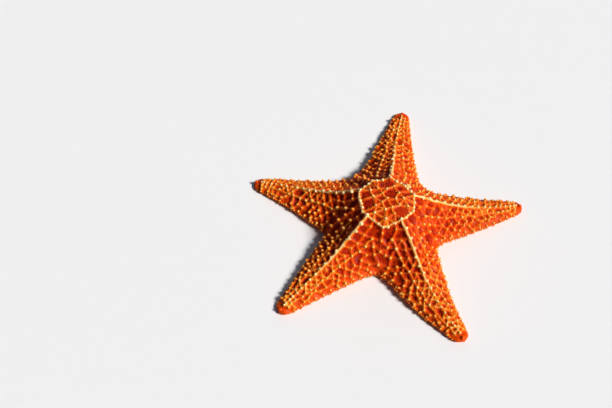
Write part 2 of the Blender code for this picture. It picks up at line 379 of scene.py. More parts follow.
def vertex_normals(points, faces):
    a, b, c = (points[faces[:, k]] for k in range(3))
    total = np.zeros_like(points)
    for k in range(3):
        np.add.at(total, faces[:, k], np.cross(b - a, c - a))
    return total / np.maximum(np.linalg.norm(total, axis=1, keepdims=True), 1e-20)


def litres(points, faces):
    a, b, c = (points[faces[:, k]] for k in range(3))
    return round(float(np.einsum("ij,ij->", a, np.cross(b, c)) / 6) * 1000, 3)


def open_edges(faces):
    sides = np.sort(np.concatenate([faces[:, [0, 1]], faces[:, [1, 2]], faces[:, [2, 0]]]), axis=1)
    _, uses = np.unique(sides, axis=0, return_counts=True)
    return int((uses != 2).sum())


print("open edges of one triangle", open_edges(np.array([[0, 1, 2]])))

# %% [markdown]
# Welding equal points joins the twenty sheets into one closed body. Two checks show that it worked: no edge
# is left open, and the volume is positive, which means that the faces point outwards.

# %% Weld the sheets into one closed body
WELD_GRID = 1e7               # points that agree to this part of a metre are one


class Body:
    """The plain skin: points, outward normals, triangles, and what is known of each point."""


def weld_body():
    points, faces, uvs, known, start = [], [], [], [], 0
    for number, half in enumerate(HALVES):
        for top in (True, False):
            co, tri, where = half_sheet(half, top)
            points.append(co)
            faces.append(tri + start)
            uvs.append(unwrap_place(half, where[:, 0], where[:, 1], top))
            known.append(np.column_stack([where, np.full(len(co), number), np.full(len(co), top)]))
            start += len(co)
    points, faces, uvs = np.concatenate(points), np.concatenate(faces), np.concatenate(uvs)
    _, first, merged = np.unique(np.round(points * WELD_GRID).astype(np.int64), axis=0,
                                 return_index=True, return_inverse=True)
    corners = merged.ravel()[faces]
    real = (corners != np.roll(corners, 1, axis=1)).all(axis=1)
    body = Body()
    body.points, body.faces, body.uvs = points[first], corners[real], uvs[faces[real]]
    body.station, body.share, number, top = np.concatenate(known)[first].T
    body.half, body.top = number.astype(int), top > 0.5
    body.normals = vertex_normals(body.points, body.faces)
    return body


BODY = weld_body()
BASE = BVHTree.FromPolygons(BODY.points.tolist(), BODY.faces.tolist())
print("skin points", len(BODY.points), "triangles", len(BODY.faces), "open edges", open_edges(BODY.faces),
      "litres", litres(BODY.points, BODY.faces))

# %% [markdown]
# The back of this animal is a net. Small plates under the skin meet in nodes, and each node carries a blunt
# knob. The nodes are laid out by rules, with a little seeded unevenness, because a perfectly even net looks
# as if a machine had made it. A node that would crowd another is simply left out.

# %% Nodes of the net
NODE_ROOM, NODE_ROOM_END = 0.036, 0.020                       # least distance at an arm's root and end
CLOSER = {"crest": 0.7, "ring": 0.7}                          # kinds that may stand closer than that
WOBBLE, FIRM_WOBBLE = 0.008, 0.003                            # scatter of most nodes, and of crests and ring
THIN_EASE = 0.02              # keeps the sideways scatter small where an arm is thin


class Nodes:
    """Lists of what is known of each node."""

    half, station, share, kind, point, line = [], [], [], [], [], []


def add_node(half, station, share, kind, wobble=WOBBLE, line=None):
    """Add a node unless another is too near; nodes of one line are joined in the order they are added."""
    station = station + RNG.uniform(-wobble, wobble)
    if 0 < share < 1:
        share += RNG.uniform(-wobble, wobble) / float(half.half_width(half.outline_s(station)) + THIN_EASE)
    share = min(max(share, 0.0), 1.0)
    point = half.point(station, share)
    room = NODE_ROOM + (NODE_ROOM_END - NODE_ROOM) * float(half.along(station))
    for other in Nodes.point:
        if np.linalg.norm(other - point) < room * ARM_LENGTH * CLOSER.get(kind, 1.0):
            return
    stores = (Nodes.half, Nodes.station, Nodes.share, Nodes.kind, Nodes.point, Nodes.line)
    for store, value in zip(stores, (half, station, share, kind, point, line)):
        store.append(value)


print("room round a node in mm", round(NODE_ROOM / MM, 1), "to", round(NODE_ROOM_END / MM, 1))

# %% [markdown]
# The nodes of the strongest ridges come first: a crest down the middle of each arm, and a ring round the
# crown from crest to crest. The ring is nearly a pentagon, with its sides bowed a little outwards, each by
# its own amount.

# %% Crests and ring
CREST_NODES = 17
CREST_CLOSING = 1.30          # over 1 sets the nodes closer towards the tip
CORNER_OUT = 0.188            # corners of the ring, on the arms' middle lines
CREST_END = 0.052             # a crest stops short of the tip by this
RING_SHARES = (0.36, 0.70, 1.0)
RING_OUT = (0.174, 0.176, 0.176, 0.204, 0.184)                # how far out its sides bow, bay by bay


def crest_stations(half):
    x = np.linspace(0, 1, CREST_NODES + 1)
    return CORNER_OUT + (half.reach - CREST_END - CORNER_OUT) * (1 - (1 - x) ** CREST_CLOSING)


for half in LEFT_HALVES:
    for station in crest_stations(half):
        add_node(half, station, 0.0, "crest", FIRM_WOBBLE, line=("crest", half.index))
for half in HALVES:
    inner = RING_OUT[half.index if half.side > 0 else half.index - 1] * SHOULDER / half.bay
    for share in RING_SHARES[:2] if half.side < 0 else RING_SHARES:
        add_node(half, CORNER_OUT + (inner - CORNER_OUT) * share, share, "ring", FIRM_WOBBLE)
print("crest and ring nodes", len(Nodes.kind))

# %% [markdown]
# On the crown the nodes follow no rows, and yet they never crowd. A simple trick gives that: of many random
# places, take the one with the most room round it, and repeat.

# %% Nodes of the crown
CROWN_NODES, CANDIDATES = 18, 60
CROWN_OUT = 0.165
MIDDLE_OUT = 0.004            # the first one stands just off the exact middle
add_node(HALVES[0], MIDDLE_OUT, 0.0, "crown", 0.0)
for number in range(CROWN_NODES):
    best, widest = None, 0.0
    for attempt in range(CANDIDATES):
        half = HALVES[RNG.integers(len(HALVES))]
        station, share = CROWN_OUT * math.sqrt(RNG.uniform()), RNG.uniform()
        clear = np.linalg.norm(np.array(Nodes.point) - half.point(station, share), axis=1).min()
        if clear > widest:
            best, widest = (half, station, share), clear
    add_node(*best, "crown", 0.0)
print("crown nodes", Nodes.kind.count("crown"))

# %% [markdown]
# Staggered rows follow each crest down both flanks, and a short line of nodes runs into each bay. A row
# keeps its distance from the crest, and gives way only where the outline swings out into a bay.

# %% Rows on the flanks
ROWS = ((0.21, 0.80, "small"), (0.41, 0.92, "second"),        # share of the half width, how far along the
        (0.60, 0.66, "minor"), (0.77, 0.90, "outer"),         # arm the row runs, and the kind of its nodes
        (0.91, 0.50, "outer"))
LEVEL_ROWS = (1, 3)           # these stand level with the crest's nodes, the others half way between them
OUTER_SHARE = 0.93            # rows are laid inside this share of the half width
MOVE_IN_FROM = 0.02           # this far past the shoulder, nodes outside it are moved in instead of left out
BAY_FROM, BAY_STOP, BAY_PITCH = 0.225, 0.030, 0.046           # line of nodes towards a bay


def row_share(half, station, part):
    ratio = float(half.straight_width(station) / half.half_width(half.outline_s(station)))
    return part * ratio if ratio > 1 else part * ratio ** (1 - part)


for half in LEFT_HALVES:
    for out in np.arange(BAY_FROM, half.bay - BAY_STOP, BAY_PITCH):
        add_node(half, out * SHOULDER / half.bay, 1.0, "minor")
for half in HALVES:
    places = crest_stations(half)
    between = (places[:-1] + places[1:]) / 2
    for row, (part, length, kind) in enumerate(ROWS):
        line = ("second", half.index, half.side) if kind == "second" else None
        for station in (places[1:] if row in LEVEL_ROWS else between):
            share = row_share(half, station, part)
            fits = share < OUTER_SHARE or station >= SHOULDER + MOVE_IN_FROM
            if half.along(station) < length and fits:
                add_node(half, station, min(share, OUTER_SHARE), kind, line=line)
print("nodes", {kind: Nodes.kind.count(kind) for kind in sorted(set(Nodes.kind))})

# %% [markdown]
# Ridges join neighbouring nodes. Two nodes are neighbours when no third one is nearer to both of them than
# they are to each other. The same rule gives open meshes on the flanks, ladders beside a crest and odd
# cells on the crown, without a list of who meets whom.

# %% Neighbours
CLOSENESS = {"medium": 1.22, "weak": 1.06}   # over 1 lets a few more nodes count as neighbours
NODE_TREE = KDTree(len(Nodes.point))
for number, point in enumerate(Nodes.point):
    NODE_TREE.insert(point, number)
NODE_TREE.balance()


def ridge_class(a, b):
    return "medium" if "crown" in (Nodes.kind[a], Nodes.kind[b]) else "weak"


def node_gap(a, b):
    return np.linalg.norm(Nodes.point[a] - Nodes.point[b])


def are_neighbours(a, b, near):
    closeness, span = CLOSENESS[ridge_class(a, b)], node_gap(a, b)
    return all(closeness * max(node_gap(a, other), node_gap(b, other)) >= span for other in near - {a, b})


print("gap between the first two crest nodes in mm", round(node_gap(0, 1) * 1000, 1))

# %% [markdown]
# The ring and the crests are joined by name, since they must never break. Everything else is joined by the
# rule. Each ridge gets a class, strong, medium or weak, which later sets its height, its width and how pale
# it is.

# %% The net of ridges
LINK_REACH, LINK_REACH_LOSS = 0.088, 0.038                    # longest ridge, and how much shorter at a tip


def ring_order():
    """The ring's nodes and the first node of each crest, in order round the middle."""
    first = [Nodes.line.index(("crest", half.index)) for half in LEFT_HALVES]
    ring = [number for number, kind in enumerate(Nodes.kind) if kind == "ring"] + first
    return sorted(ring, key=lambda n: math.atan2(*(Nodes.point[n][:2] - CENTRE)[::-1]))


def find_ridges():
    ridges = {}
    ring = ring_order()
    for a, b in zip(ring, ring[1:] + ring[:1]):
        ridges[min(a, b), max(a, b)] = "strong"
    for line in sorted({line for line in Nodes.line if line}, key=str):
        members = [number for number, other in enumerate(Nodes.line) if other == line]
        for a, b in zip(members, members[1:]):
            ridges[a, b] = "strong" if line[0] == "crest" else "medium"
    for a, point in enumerate(Nodes.point):
        along = float(Nodes.half[a].along(Nodes.station[a]))
        reach = (LINK_REACH - LINK_REACH_LOSS * along) * ARM_LENGTH
        near = {found[1] for found in NODE_TREE.find_range(point, reach)}
        for b in sorted(near):
            if b > a and (a, b) not in ridges and are_neighbours(a, b, near):
                ridges[a, b] = ridge_class(a, b)
    return ridges


NET = find_ridges()
print("ridges", {kind: list(NET.values()).count(kind) for kind in CLOSENESS}, "in all", len(NET))

# %% [markdown]
# No two ridges are equal. The strong ones fade towards the tips, and the weak ones sink down the flanks and
# differ by chance, so that some cells close with a bright line and others run into each other.

# %% Size and paleness of each ridge
RIDGES = {"strong": (1.35, 1.02, 0.97),                       # height and width in mm, and paleness
          "medium": (1.00, 0.74, 0.64),
          "weak": (0.80, 0.62, 0.22)}
FADE_FROM, FADE_OVER = 0.22, 0.34                             # strong ridges fade over this part of the arm
FADE = (0.30, 0.32, 0.42)     # and lose this much of their height, width and paleness
DULL_CHANCE, DULL = 0.35, 0.30                                # so many of the medium ridges are dull
WEAK_CHANCE, WEAK_WIDTH = (0.45, 1.25), (0.7, 0.3)            # the width varies less than the height
WEAK_SINK, WEAK_SPREAD = 0.45, 0.30                           # lower towards the outline, wider to the tip
WEAK_GLOW, WEAK_GLOW_GAIN, GLOW_FROM = 0.32, 0.45, 0.25       # paleness of weak ridges out on the arm


def ridge_build(a, b, kind):
    """Height and width in mm, and paleness."""
    height, width, pale = RIDGES[kind]
    along = float(Nodes.half[a].along(Nodes.station[a]))
    outer = (Nodes.share[a] + Nodes.share[b]) / 2
    fade = float(smoothstep((along - FADE_FROM) / FADE_OVER))
    if kind == "strong":
        return height * (1 - FADE[0] * fade), width * (1 - FADE[1] * fade), pale - FADE[2] * fade
    if kind == "medium":
        return height, width, DULL if RNG.uniform() < DULL_CHANCE else pale
    chance = RNG.uniform(*WEAK_CHANCE)
    glow = (WEAK_GLOW + WEAK_GLOW_GAIN * along) * min(1.0, along / GLOW_FROM)
    height = height * (1 - WEAK_SINK * outer) * chance
    width = width * (1 + WEAK_SPREAD * along) * (WEAK_WIDTH[0] + WEAK_WIDTH[1] * chance)
    return height, width, (pale * (1 - outer) + glow) * chance


print("a strong ridge", ridge_build(0, 1, "strong"))

# %% [markdown]
# Each ridge is laid along the skin as a string of sample points, four to the millimetre, with a slight
# sideways bow. Noise makes it swell and thin, and it glows less half way between its nodes than beside
# them.

# %% Sample the ridges
SAMPLE_STEP = 0.25e-3
LINK_GLOW = {"strong": 0.82, "medium": 0.55, "weak": 0.60}     # paleness half way between two nodes
GLOW_LENGTH = 1.6e-3
SIDE_BOW = 0.10               # share of its length by which a ridge may swing aside
SWELL, SWELL_SCALE = 0.22, 700
SAMPLES = {kind: [] for kind in RIDGES}
VALUES = {kind: [] for kind in RIDGES}
for (a, b), kind in NET.items():
    height, width, pale = ridge_build(a, b, kind)
    start, end = Nodes.point[a], Nodes.point[b]
    span = np.linalg.norm(end - start)
    sideways = np.cross(end - start, (0, 0, 1)) * RNG.uniform(-SIDE_BOW, SIDE_BOW)
    for x in np.linspace(0, 1, max(3, round(span / SAMPLE_STEP))):
        place = start + (end - start) * x + sideways * math.sin(math.pi * x)
        swell = 1 + SWELL * noise.noise(Vector(place) * SWELL_SCALE)
        glow = LINK_GLOW[kind] + (1 - LINK_GLOW[kind]) * math.exp(-(min(x, 1 - x) * span / GLOW_LENGTH) ** 2)
        SAMPLES[kind].append(BASE.find_nearest(place)[0])
        VALUES[kind].append((height * swell * 1e-3, width * swell * 1e-3, pale * glow))
print("samples", sum(len(points) for points in SAMPLES.values()))

# %% [markdown]
# Every point of the back now asks for its nearest ridges and its nearest node, rises by them along its own
# normal, and sinks a little in the meshes between. The same distances give its markings: how pale, how
# orange, how deep; the depth is also painted as shade in the pits. Displacing a fine mesh by such numbers is
# what a Displace modifier does too, but here the markings come with it.

# %% Rise and markings near ridges and nodes
KNOB_SEAT, SEAT_RISE, NODE_GLOW = 1.8e-3, 0.45e-3, 0.36
PIT_DEPTH, PIT_FROM, PIT_OVER = 1.05e-3, 0.8e-3, 1.8e-3       # depth, and where beside a ridge it begins
LINE_EDGE, LINE_FADE = 1.05, 0.85                             # the pale line of a ridge, in its own widths
SKIRT_EDGE, SKIRT_FADE, WEAK_SKIRT = 2.7, 1.9, 0.85           # the orange skirt on both sides of it
NODE_EDGE, NODE_FADE = 2.7e-3, 1.3e-3                         # the orange skirt round a node


def tree_of(points):
    tree = KDTree(len(points))
    for number, point in enumerate(points):
        tree.insert(point, number)
    tree.balance()
    return tree


def nearest(tree, points):
    """Distance to the nearest point of a tree, and its number, for each point."""
    found = [tree.find(point) for point in points]
    return np.array([hit[2] for hit in found]), np.array([hit[1] for hit in found])


def raise_net(points):
    """Height in metres and markings (pale, orange, pit depth, also used as painted shade) of points on the
    plain back.
    """
    height, pale, orange, near = (np.zeros(len(points)) for _ in range(4))
    near += 1.0
    for kind, samples in SAMPLES.items():
        distance, index = nearest(tree_of(samples), points)
        tall, wide, light = np.array(VALUES[kind])[index].T
        height = np.maximum(height, tall * bell(distance, wide))
        line = smoothstep((LINE_EDGE * wide - distance) / (LINE_FADE * wide))
        pale = np.maximum(pale, light * line)
        skirt = smoothstep((SKIRT_EDGE * wide - distance) / (SKIRT_FADE * wide))
        orange = np.maximum(orange, skirt * (WEAK_SKIRT if kind == "weak" else 1.0))
        near = np.minimum(near, distance)
    to_node, _ = nearest(NODE_TREE, points)
    pale = np.maximum(pale, NODE_GLOW * bell(to_node, KNOB_SEAT))
    orange = np.maximum(orange, smoothstep((NODE_EDGE - to_node) / NODE_FADE))
    pit = smoothstep((near - PIT_FROM) / PIT_OVER)
    return height + SEAT_RISE * bell(to_node, KNOB_SEAT) - PIT_DEPTH * pit, pale, orange, pit


first_rise = raise_net([BASE.find_nearest(Nodes.point[0])[0]])[0]
print("rise at the first node in mm", round(float(first_rise[0]) * 1000, 2))

# %% [markdown]
# The numbers are kept as two colour attributes. "marks" holds paleness, orange, the place along the arm and
# how far underneath a point lies. "shade" holds depth in a pit, painted as shade, and, on small bodies, the
# height on the body and a chance. The skin and all that grows on it share them, and so share one paint
# scheme.

# %% Relief and markings of the back
CROWN_FILL, CROWN_EDGE = 0.6e-3, 0.05                         # the crown's meshes are shallower than others
RIM_FADE = 0.05               # relief fades out over this share of the half width
# The orange band along the rim is partly the rim's own colour and partly painted light.
RIM_BAND, RIM_ORANGE_AND_LIGHT = 5.0e-3, 0.70                           # an orange band runs along the rim
BACK, BELLY = np.nonzero(BODY.top)[0], np.nonzero(~BODY.top)[0]
RELIEF = np.zeros(len(BODY.points))
MARKS, SHADE = np.zeros((len(BODY.points), 4)), np.zeros((len(BODY.points), 4))
REACHES = np.array([half.reach for half in HALVES])[BODY.half]
MARKS[:, 2] = np.clip((BODY.station - SHOULDER) / (REACHES - SHOULDER), 0, 1)
TO_RIM = np.zeros(len(BODY.points))          # metres to the outline
for number, half in enumerate(HALVES):
    mine = BODY.half == number
    TO_RIM[mine] = ARM_LENGTH * half.edge_distance(BODY.station[mine], BODY.share[mine])
height, pale, orange, pit = raise_net(BODY.points[BACK])
height += CROWN_FILL * pit * smoothstep((CORNER_OUT - BODY.station[BACK]) / CROWN_EDGE)
on_rim = np.where(BODY.station[BACK] > SHOULDER, smoothstep((1 - BODY.share[BACK]) / RIM_FADE), 1.0)
near_rim = bell(TO_RIM[BACK], RIM_BAND)
RELIEF[BACK] = height * on_rim
MARKS[BACK, 0] = pale * on_rim
# Rim band: its own orange, partly painted light.
MARKS[BACK, 1] = np.maximum(orange * on_rim, RIM_ORANGE_AND_LIGHT * near_rim)
# Painted shade: the pits are darkened by their depth, except along the rim.
SHADE[BACK, 0] = pit * (1 - near_rim)
print("relief of the back in mm", [round(float(value) * 1000, 2) for value in (height.min(), height.max())])

# %% [markdown]
# The underside is nearly flat and only gently uneven. Where back and underside meet, a row of margin plates
# swells under the skin, which shows as a soft scalloped edge. A cosine wave along the outline is enough for
# that.

# %% Relief of the underside and of the margin
PLATES = 12                   # margin plates along one side of an arm
PLATE_SWELL = 0.8e-3
PLATE_ABOVE, PLATE_BELOW = 2.8e-3, 1.6e-3                     # how far the swelling reaches up and under
BELLY_SWELL, BELLY_SCALE = 0.12e-3, 350
BELLY_ORANGE = 0.55
BELLY_FROM, BELLY_OVER = 1.5e-3, 4.0e-3                       # where the colour of the underside sets in
uneven = np.array([BELLY_SWELL * noise.noise(Vector(point) * BELLY_SCALE) for point in BODY.points[BELLY]])
RELIEF[BELLY] = uneven * smoothstep((1 - BODY.share[BELLY]) / RIM_FADE)
MARKS[BELLY, 1] = BELLY_ORANGE
MARKS[BELLY, 3] = smoothstep((TO_RIM[BELLY] - BELLY_FROM) / BELLY_OVER)
plate_wave = 0.5 - 0.5 * np.cos(2 * math.pi * PLATES * MARKS[:, 2])
plate_reach = np.where(BODY.top, PLATE_ABOVE, PLATE_BELOW)
RELIEF += PLATE_SWELL * plate_wave * bell(TO_RIM, plate_reach) * (MARKS[:, 2] < 0.999)
SURFACE = BODY.points + BODY.normals * RELIEF[:, None]
print("top of the skin in mm", round(float(SURFACE[:, 2].max()) * 1000, 1))

# %% [markdown]
# From arrays to a mesh: points, triangles, the unwrap and the two attributes go into one mesh datablock.
# Whole arrays are handed over at once, because adding a hundred thousand faces one by one would be slow.

# %% Make a piece from arrays


def make_mesh(name, points, faces, corner_uv, marks, shade):
    """A smooth triangle mesh with its own unwrap and both marking attributes."""
    mesh = bpy.data.meshes.new(name)
    mesh.vertices.add(len(points))
    mesh.vertices.foreach_set("co", points.astype(np.float32).ravel())
    mesh.loops.add(faces.size)
    mesh.loops.foreach_set("vertex_index", faces.astype(np.int32).ravel())
    mesh.polygons.add(len(faces))
    mesh.polygons.foreach_set("loop_start", np.arange(0, faces.size, 3, dtype=np.int32))
    mesh.update(calc_edges=True)
    mesh.uv_layers.new(name="OFBake").data.foreach_set("uv", corner_uv.astype(np.float32).ravel())
    for label, values in (("marks", marks), ("shade", shade)):
        layer = mesh.attributes.new(label, "FLOAT_COLOR", "POINT")
        layer.data.foreach_set("color", values.astype(np.float32).ravel())
    mesh.shade_smooth()
    mesh.validate()
    piece = bpy.data.objects.new(name, mesh)
    bpy.context.scene.collection.objects.link(piece)
    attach(piece, "root")
    return piece


print("marks and shade for", len(MARKS), "points")

# %% [markdown]
# The skin is one piece from tip to tip, and it stands for the disc, the five arms and the five tips, so
# that no seam shows where the solids meet. The solids stay behind it for touching and weighing.

# %% The skin
skin = make_mesh("skin", SURFACE, BODY.faces, BODY.uvs, MARKS, SHADE)
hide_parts("disc", *[f"arm_{n}" for n in range(1, 6)], *[f"tip_{n}" for n in range(1, 6)])
print("skin triangles", len(skin.data.polygons), "litres", litres(SURFACE, BODY.faces))

# %% [markdown]
# Knobs, granules, spines and tube feet are all small solid bodies of the same build: a foot that grows
# upwards, ring by ring, and closes. By hand that is a filled circle, extruded and scaled again and again,
# and merged at the top. Each kind is modelled once in this way, at unit size, and then planted many times
# over.

# %% Model one small body
FOOT_SHRINK = 0.01            # size on the unwrap of a body's hidden foot, beside that of its visible part


class Seed:
    """A unit body on the origin: points, triangles, which of them are its foot, and each point's level."""


def grow(name, sides, rings, squash=(1, 1)):
    """Model a body from (radius, height) rings, starting at its foot and ending in a point on the axis."""
    bpy.ops.object.select_all(action="DESELECT")
    radius, height = rings[0]
    bpy.ops.mesh.primitive_circle_add(vertices=sides, radius=radius, fill_type="NGON",
                                      location=(0, 0, height))
    body = bpy.context.object
    body.name = name
    bpy.ops.object.mode_set(mode="EDIT")
    bpy.ops.mesh.select_all(action="SELECT")
    for next_radius, next_height in rings[1:]:
        bpy.ops.mesh.extrude_region_move(TRANSFORM_OT_translate={"value": (0, 0, next_height - height)})
        if next_radius > 0:
            factor = next_radius / radius
            bpy.ops.transform.resize(value=(factor, factor, 1))
        else:
            bpy.ops.mesh.merge(type="CENTER")
        radius, height = next_radius, next_height
    bpy.ops.mesh.select_all(action="SELECT")
    bpy.ops.transform.resize(value=(*squash, 1), center_override=(0, 0, 0))
    bpy.ops.mesh.quads_convert_to_tris()
    bpy.ops.mesh.normals_make_consistent(inside=False)
    bpy.ops.object.mode_set(mode="OBJECT")
    bpy.ops.object.transform_apply(location=True)
    seed = read_seed(body, rings)
    bpy.data.objects.remove(body)
    return seed


def read_seed(body, rings):
    """The modelled body as arrays, with its faces outwards."""
    seed = Seed()
    seed.points = np.array([vertex.co for vertex in body.data.vertices])
    seed.faces = np.array([face.vertices for face in body.data.polygons])
    a, b, c = (seed.points[seed.faces[:, k]] for k in range(3))
    if np.einsum("ij,ij->", np.cross(b - a, c - a), (a + b + c) / 3 - seed.points.mean(axis=0)) < 0:
        seed.faces = seed.faces[:, ::-1]
    foot = seed.points[:, 2] < rings[0][1] + 1e-6
    seed.foot = foot[seed.faces].all(axis=1)
    levels = sorted({round(ring[1], 5) for ring in rings})
    seed.level = np.interp(seed.points[:, 2], levels, np.linspace(0, 1, len(levels)))
    return seed


def corner_places(places, faces, foot):
    """Unwrap places of the corners of faces, with the hidden feet shrunk so that they cover nothing else."""
    corners = places[faces]
    corners[foot] = corners[foot][:, :1] + FOOT_SHRINK * (corners[foot] - corners[foot][:, :1])
    return corners.reshape(-1, 2)


knob_seed = grow("knob", 9, [(0.94, -0.85), (1.00, -0.05), (0.84, 0.30), (0.62, 0.66), (0.35, 0.92),
                             (0.0, 1.0)])
print("triangles of one knob", len(knob_seed.faces))

# %% [markdown]
# Planting copies a seed to each root, stands it along an axis, turns it by chance and gives it its own
# width and height. All copies of a kind are one piece with one mesh. Each takes a tiny patch of the unwrap
# at its root's own place, so a baked picture of the colours still finds the right spot for it.

# %% Plant copies of a small body
PATCH, PATCH_TAPER = 0.0015, 0.9                              # radius of a copy's patch, and its loss upwards
UV_EDGE = 0.0005
NEARLY_UPRIGHT = 0.8


def unit(vectors):
    return vectors / np.maximum(np.linalg.norm(vectors, axis=-1, keepdims=True), 1e-12)


def plant(name, seed, roots, axes, widths, heights, uvs, marks, chance):
    """Plant a copy of a seed at each root, and make all the copies one piece."""
    count, each = len(roots), len(seed.points)
    axes = unit(np.asarray(axes, float))
    reference = np.where(np.abs(axes[:, 2:]) > NEARLY_UPRIGHT, (1.0, 0.0, 0.0), (0.0, 0.0, 1.0))
    aside = unit(np.cross(axes, reference))
    turn = (chance * 2 * math.pi)[:, None]
    first = aside * np.cos(turn) + np.cross(axes, aside) * np.sin(turn)
    second = np.cross(axes, first)
    x, y, z = (seed.points[:, k, None] for k in range(3))
    across = widths[:, None, None] * (x * first[:, None] + y * second[:, None])
    points = (roots[:, None] + across + heights[:, None, None] * z * axes[:, None]).reshape(-1, 3)
    faces = (seed.faces[None] + (np.arange(count) * each)[:, None, None]).reshape(-1, 3)
    ring = unit(np.column_stack([seed.points[:, :2], np.full(each, 1e-6)]))[:, :2]
    patch = ring * (PATCH * (1.0 - PATCH_TAPER * seed.level))[:, None]
    uv = np.clip(uvs[:, None] + patch[None], UV_EDGE, 1 - UV_EDGE).reshape(-1, 2)
    shade = np.zeros((len(points), 4))
    shade[:, 1], shade[:, 2] = np.tile(seed.level, count), np.repeat(chance, each)
    print(name, "copies", count, "triangles", len(faces))
    corners = corner_places(uv, faces, np.tile(seed.foot, count))
    return make_mesh(name, points, faces, corners, np.repeat(marks, each, axis=0), shade)


SKIN_TREE = tree_of(SURFACE)
SKIN_UV = np.zeros((len(SURFACE), 2))
SKIN_UV[BODY.faces.ravel()] = BODY.uvs.reshape(-1, 2)
print("places to plant on", len(SURFACE))

# %% [markdown]
# The knobs are blunt cones with a spreading foot and a rounded head. Those of the crests and the ring are
# the palest, those down the flanks stand tallest, and all of them shrink towards the tips. A little scatter
# in size and paleness keeps them apart.

# %% Knobs on the nodes
KNOBS = {"ring": (1.40, 1.25, 0.95), "crest": (1.55, 1.40, 0.95),     # radius and height in mm, and paleness
         "crown": (1.22, 1.15, 0.80), "second": (1.58, 1.70, 0.65),
         "small": (1.10, 0.95, 0.35), "minor": (1.45, 1.50, 0.40), "outer": (1.52, 1.80, 0.40)}
KNOB_SHRINK = 0.42            # share of their size that knobs lose towards the tip
RIDGE_TOP = 0.8e-3            # a node's place is lifted by this to find the raised skin nearest to it
SIZE_CHANCE, PALE_CHANCE = (0.72, 1.15), (0.7, 1.05)


def skin_places(points):
    """Number of the nearest skin point of each point."""
    return nearest(SKIN_TREE, points)[1]


node_points = np.array(Nodes.point)
node_at = skin_places(node_points + BODY.normals[skin_places(node_points)] * RIDGE_TOP)
sizes = np.array([KNOBS[kind][:2] for kind in Nodes.kind]) * 1e-3
sizes *= ((1 - KNOB_SHRINK * MARKS[node_at, 2]) * RNG.uniform(*SIZE_CHANCE, len(sizes)))[:, None]
node_marks = MARKS[node_at].copy()
node_marks[:, 0] = [KNOBS[kind][2] * RNG.uniform(*PALE_CHANCE) for kind in Nodes.kind]
node_marks[:, 1] = 1.0
knobs = plant("knobs", knob_seed, SURFACE[node_at], BODY.normals[node_at], sizes[:, 0], sizes[:, 1],
              SKIN_UV[node_at], node_marks, RNG.uniform(0, 1, len(sizes)))

# %% [markdown]
# The pale ridges are not smooth cords: small round beads sit on them between the knobs. They are planted at
# even steps along each strong and medium ridge, and keep off the knobs at both ends.

# %% Beads on the ridges
BEAD_GAP, OFF_KNOB = 1.9e-3, 1.6e-3
BEAD_RADIUS, BEAD_HEIGHT = (0.50, 0.80), 0.75                 # in mm by chance, and the height beside it
BEAD_SHRINK, BEAD_PALER, BEAD_LIFT = 0.35, 0.25, 0.5e-3
bead_seed = grow("bead", 7, [(1.15, -0.35), (0.98, 0.15), (0.70, 0.62), (0.32, 0.90), (0.0, 0.95)])


def beads_along(kinds):
    """Places along the ridges of some kinds."""
    places = []
    for (a, b), kind in NET.items():
        span = node_gap(a, b)
        room = span - 2 * OFF_KNOB
        if kind in kinds and room > 0:
            count = max(1, int(room / BEAD_GAP))
            for x in (OFF_KNOB + room * (np.arange(count) + 0.5) / count) / span:
                places.append(Nodes.point[a] + (Nodes.point[b] - Nodes.point[a]) * x)
    return np.array(places)


bead_at = skin_places(beads_along(("strong", "medium")))
bead_at = skin_places(SURFACE[bead_at] + BODY.normals[bead_at] * BEAD_LIFT)
bead_marks = MARKS[bead_at].copy()
bead_marks[:, 0] = np.minimum(1.0, bead_marks[:, 0] + BEAD_PALER)
bead_size = RNG.uniform(*BEAD_RADIUS, len(bead_at)) * 1e-3 * (1 - BEAD_SHRINK * MARKS[bead_at, 2])
ridge_beads = plant("ridge_beads", bead_seed, SURFACE[bead_at], BODY.normals[bead_at], bead_size,
                    bead_size * BEAD_HEIGHT, SKIN_UV[bead_at], bead_marks, RNG.uniform(0, 1, len(bead_at)))

# %% [markdown]
# Between the ridges the skin is crowded with granules and with soft breathing papules. They are what makes
# a sea star look like wet velvet. A plain random scattering clumps, and a grid looks woven. So the skin's
# own points are taken in random order, and one is kept only if no kept one is too near.

# %% Scatter places over the back
GRANULE_GAP, CLEAR_OF_KNOB = 1.04e-3, 1.7e-3
GRANULE_EDGE = 0.985          # the outermost strip of an arm is left to the knobs and spines of the margin


def scatter(candidates, gap):
    """Skin points at least a gap apart; a table of cubes one gap wide keeps the search short."""
    cubes, chosen = {}, []
    for at in RNG.permutation(candidates):
        here = SURFACE[at]
        i, j, k = (math.floor(value / gap) for value in here)
        near = [other for x in (i - 1, i, i + 1) for y in (j - 1, j, j + 1) for z in (k - 1, k, k + 1)
                for other in cubes.get((x, y, z), ())]
        if all(np.dot(other - here, other - here) >= gap * gap for other in near):
            cubes.setdefault((i, j, k), []).append(here)
            chosen.append(at)
    return np.array(chosen)


on_back = BACK[(BODY.share[BACK] < GRANULE_EDGE) | (BODY.station[BACK] < SHOULDER)]
clear_of_knobs = nearest(NODE_TREE, SURFACE[on_back])[0] > CLEAR_OF_KNOB
granule_at = scatter(on_back[clear_of_knobs], GRANULE_GAP)
print("places for granules", len(granule_at), "of", len(on_back))

# %% [markdown]
# A granule is a low dome of a few triangles, because there are thousands of them. In the pits they stand
# taller, like the papules that the animal breathes with. Each arm has its own piece, so that none is heavy.

# %% Granules over the back
GRANULE_RADIUS = (0.42, 0.14, 0.06)                           # in mm: least, more by chance, more in pits
GRANULE_HEIGHT = (0.38, 0.25, 0.30)
GRANULE_SHIFT = 0.14e-3


def granule_size(build, chance, deep):
    least, by_chance, in_pit = build
    return (least + by_chance * chance + in_pit * deep) * 1e-3


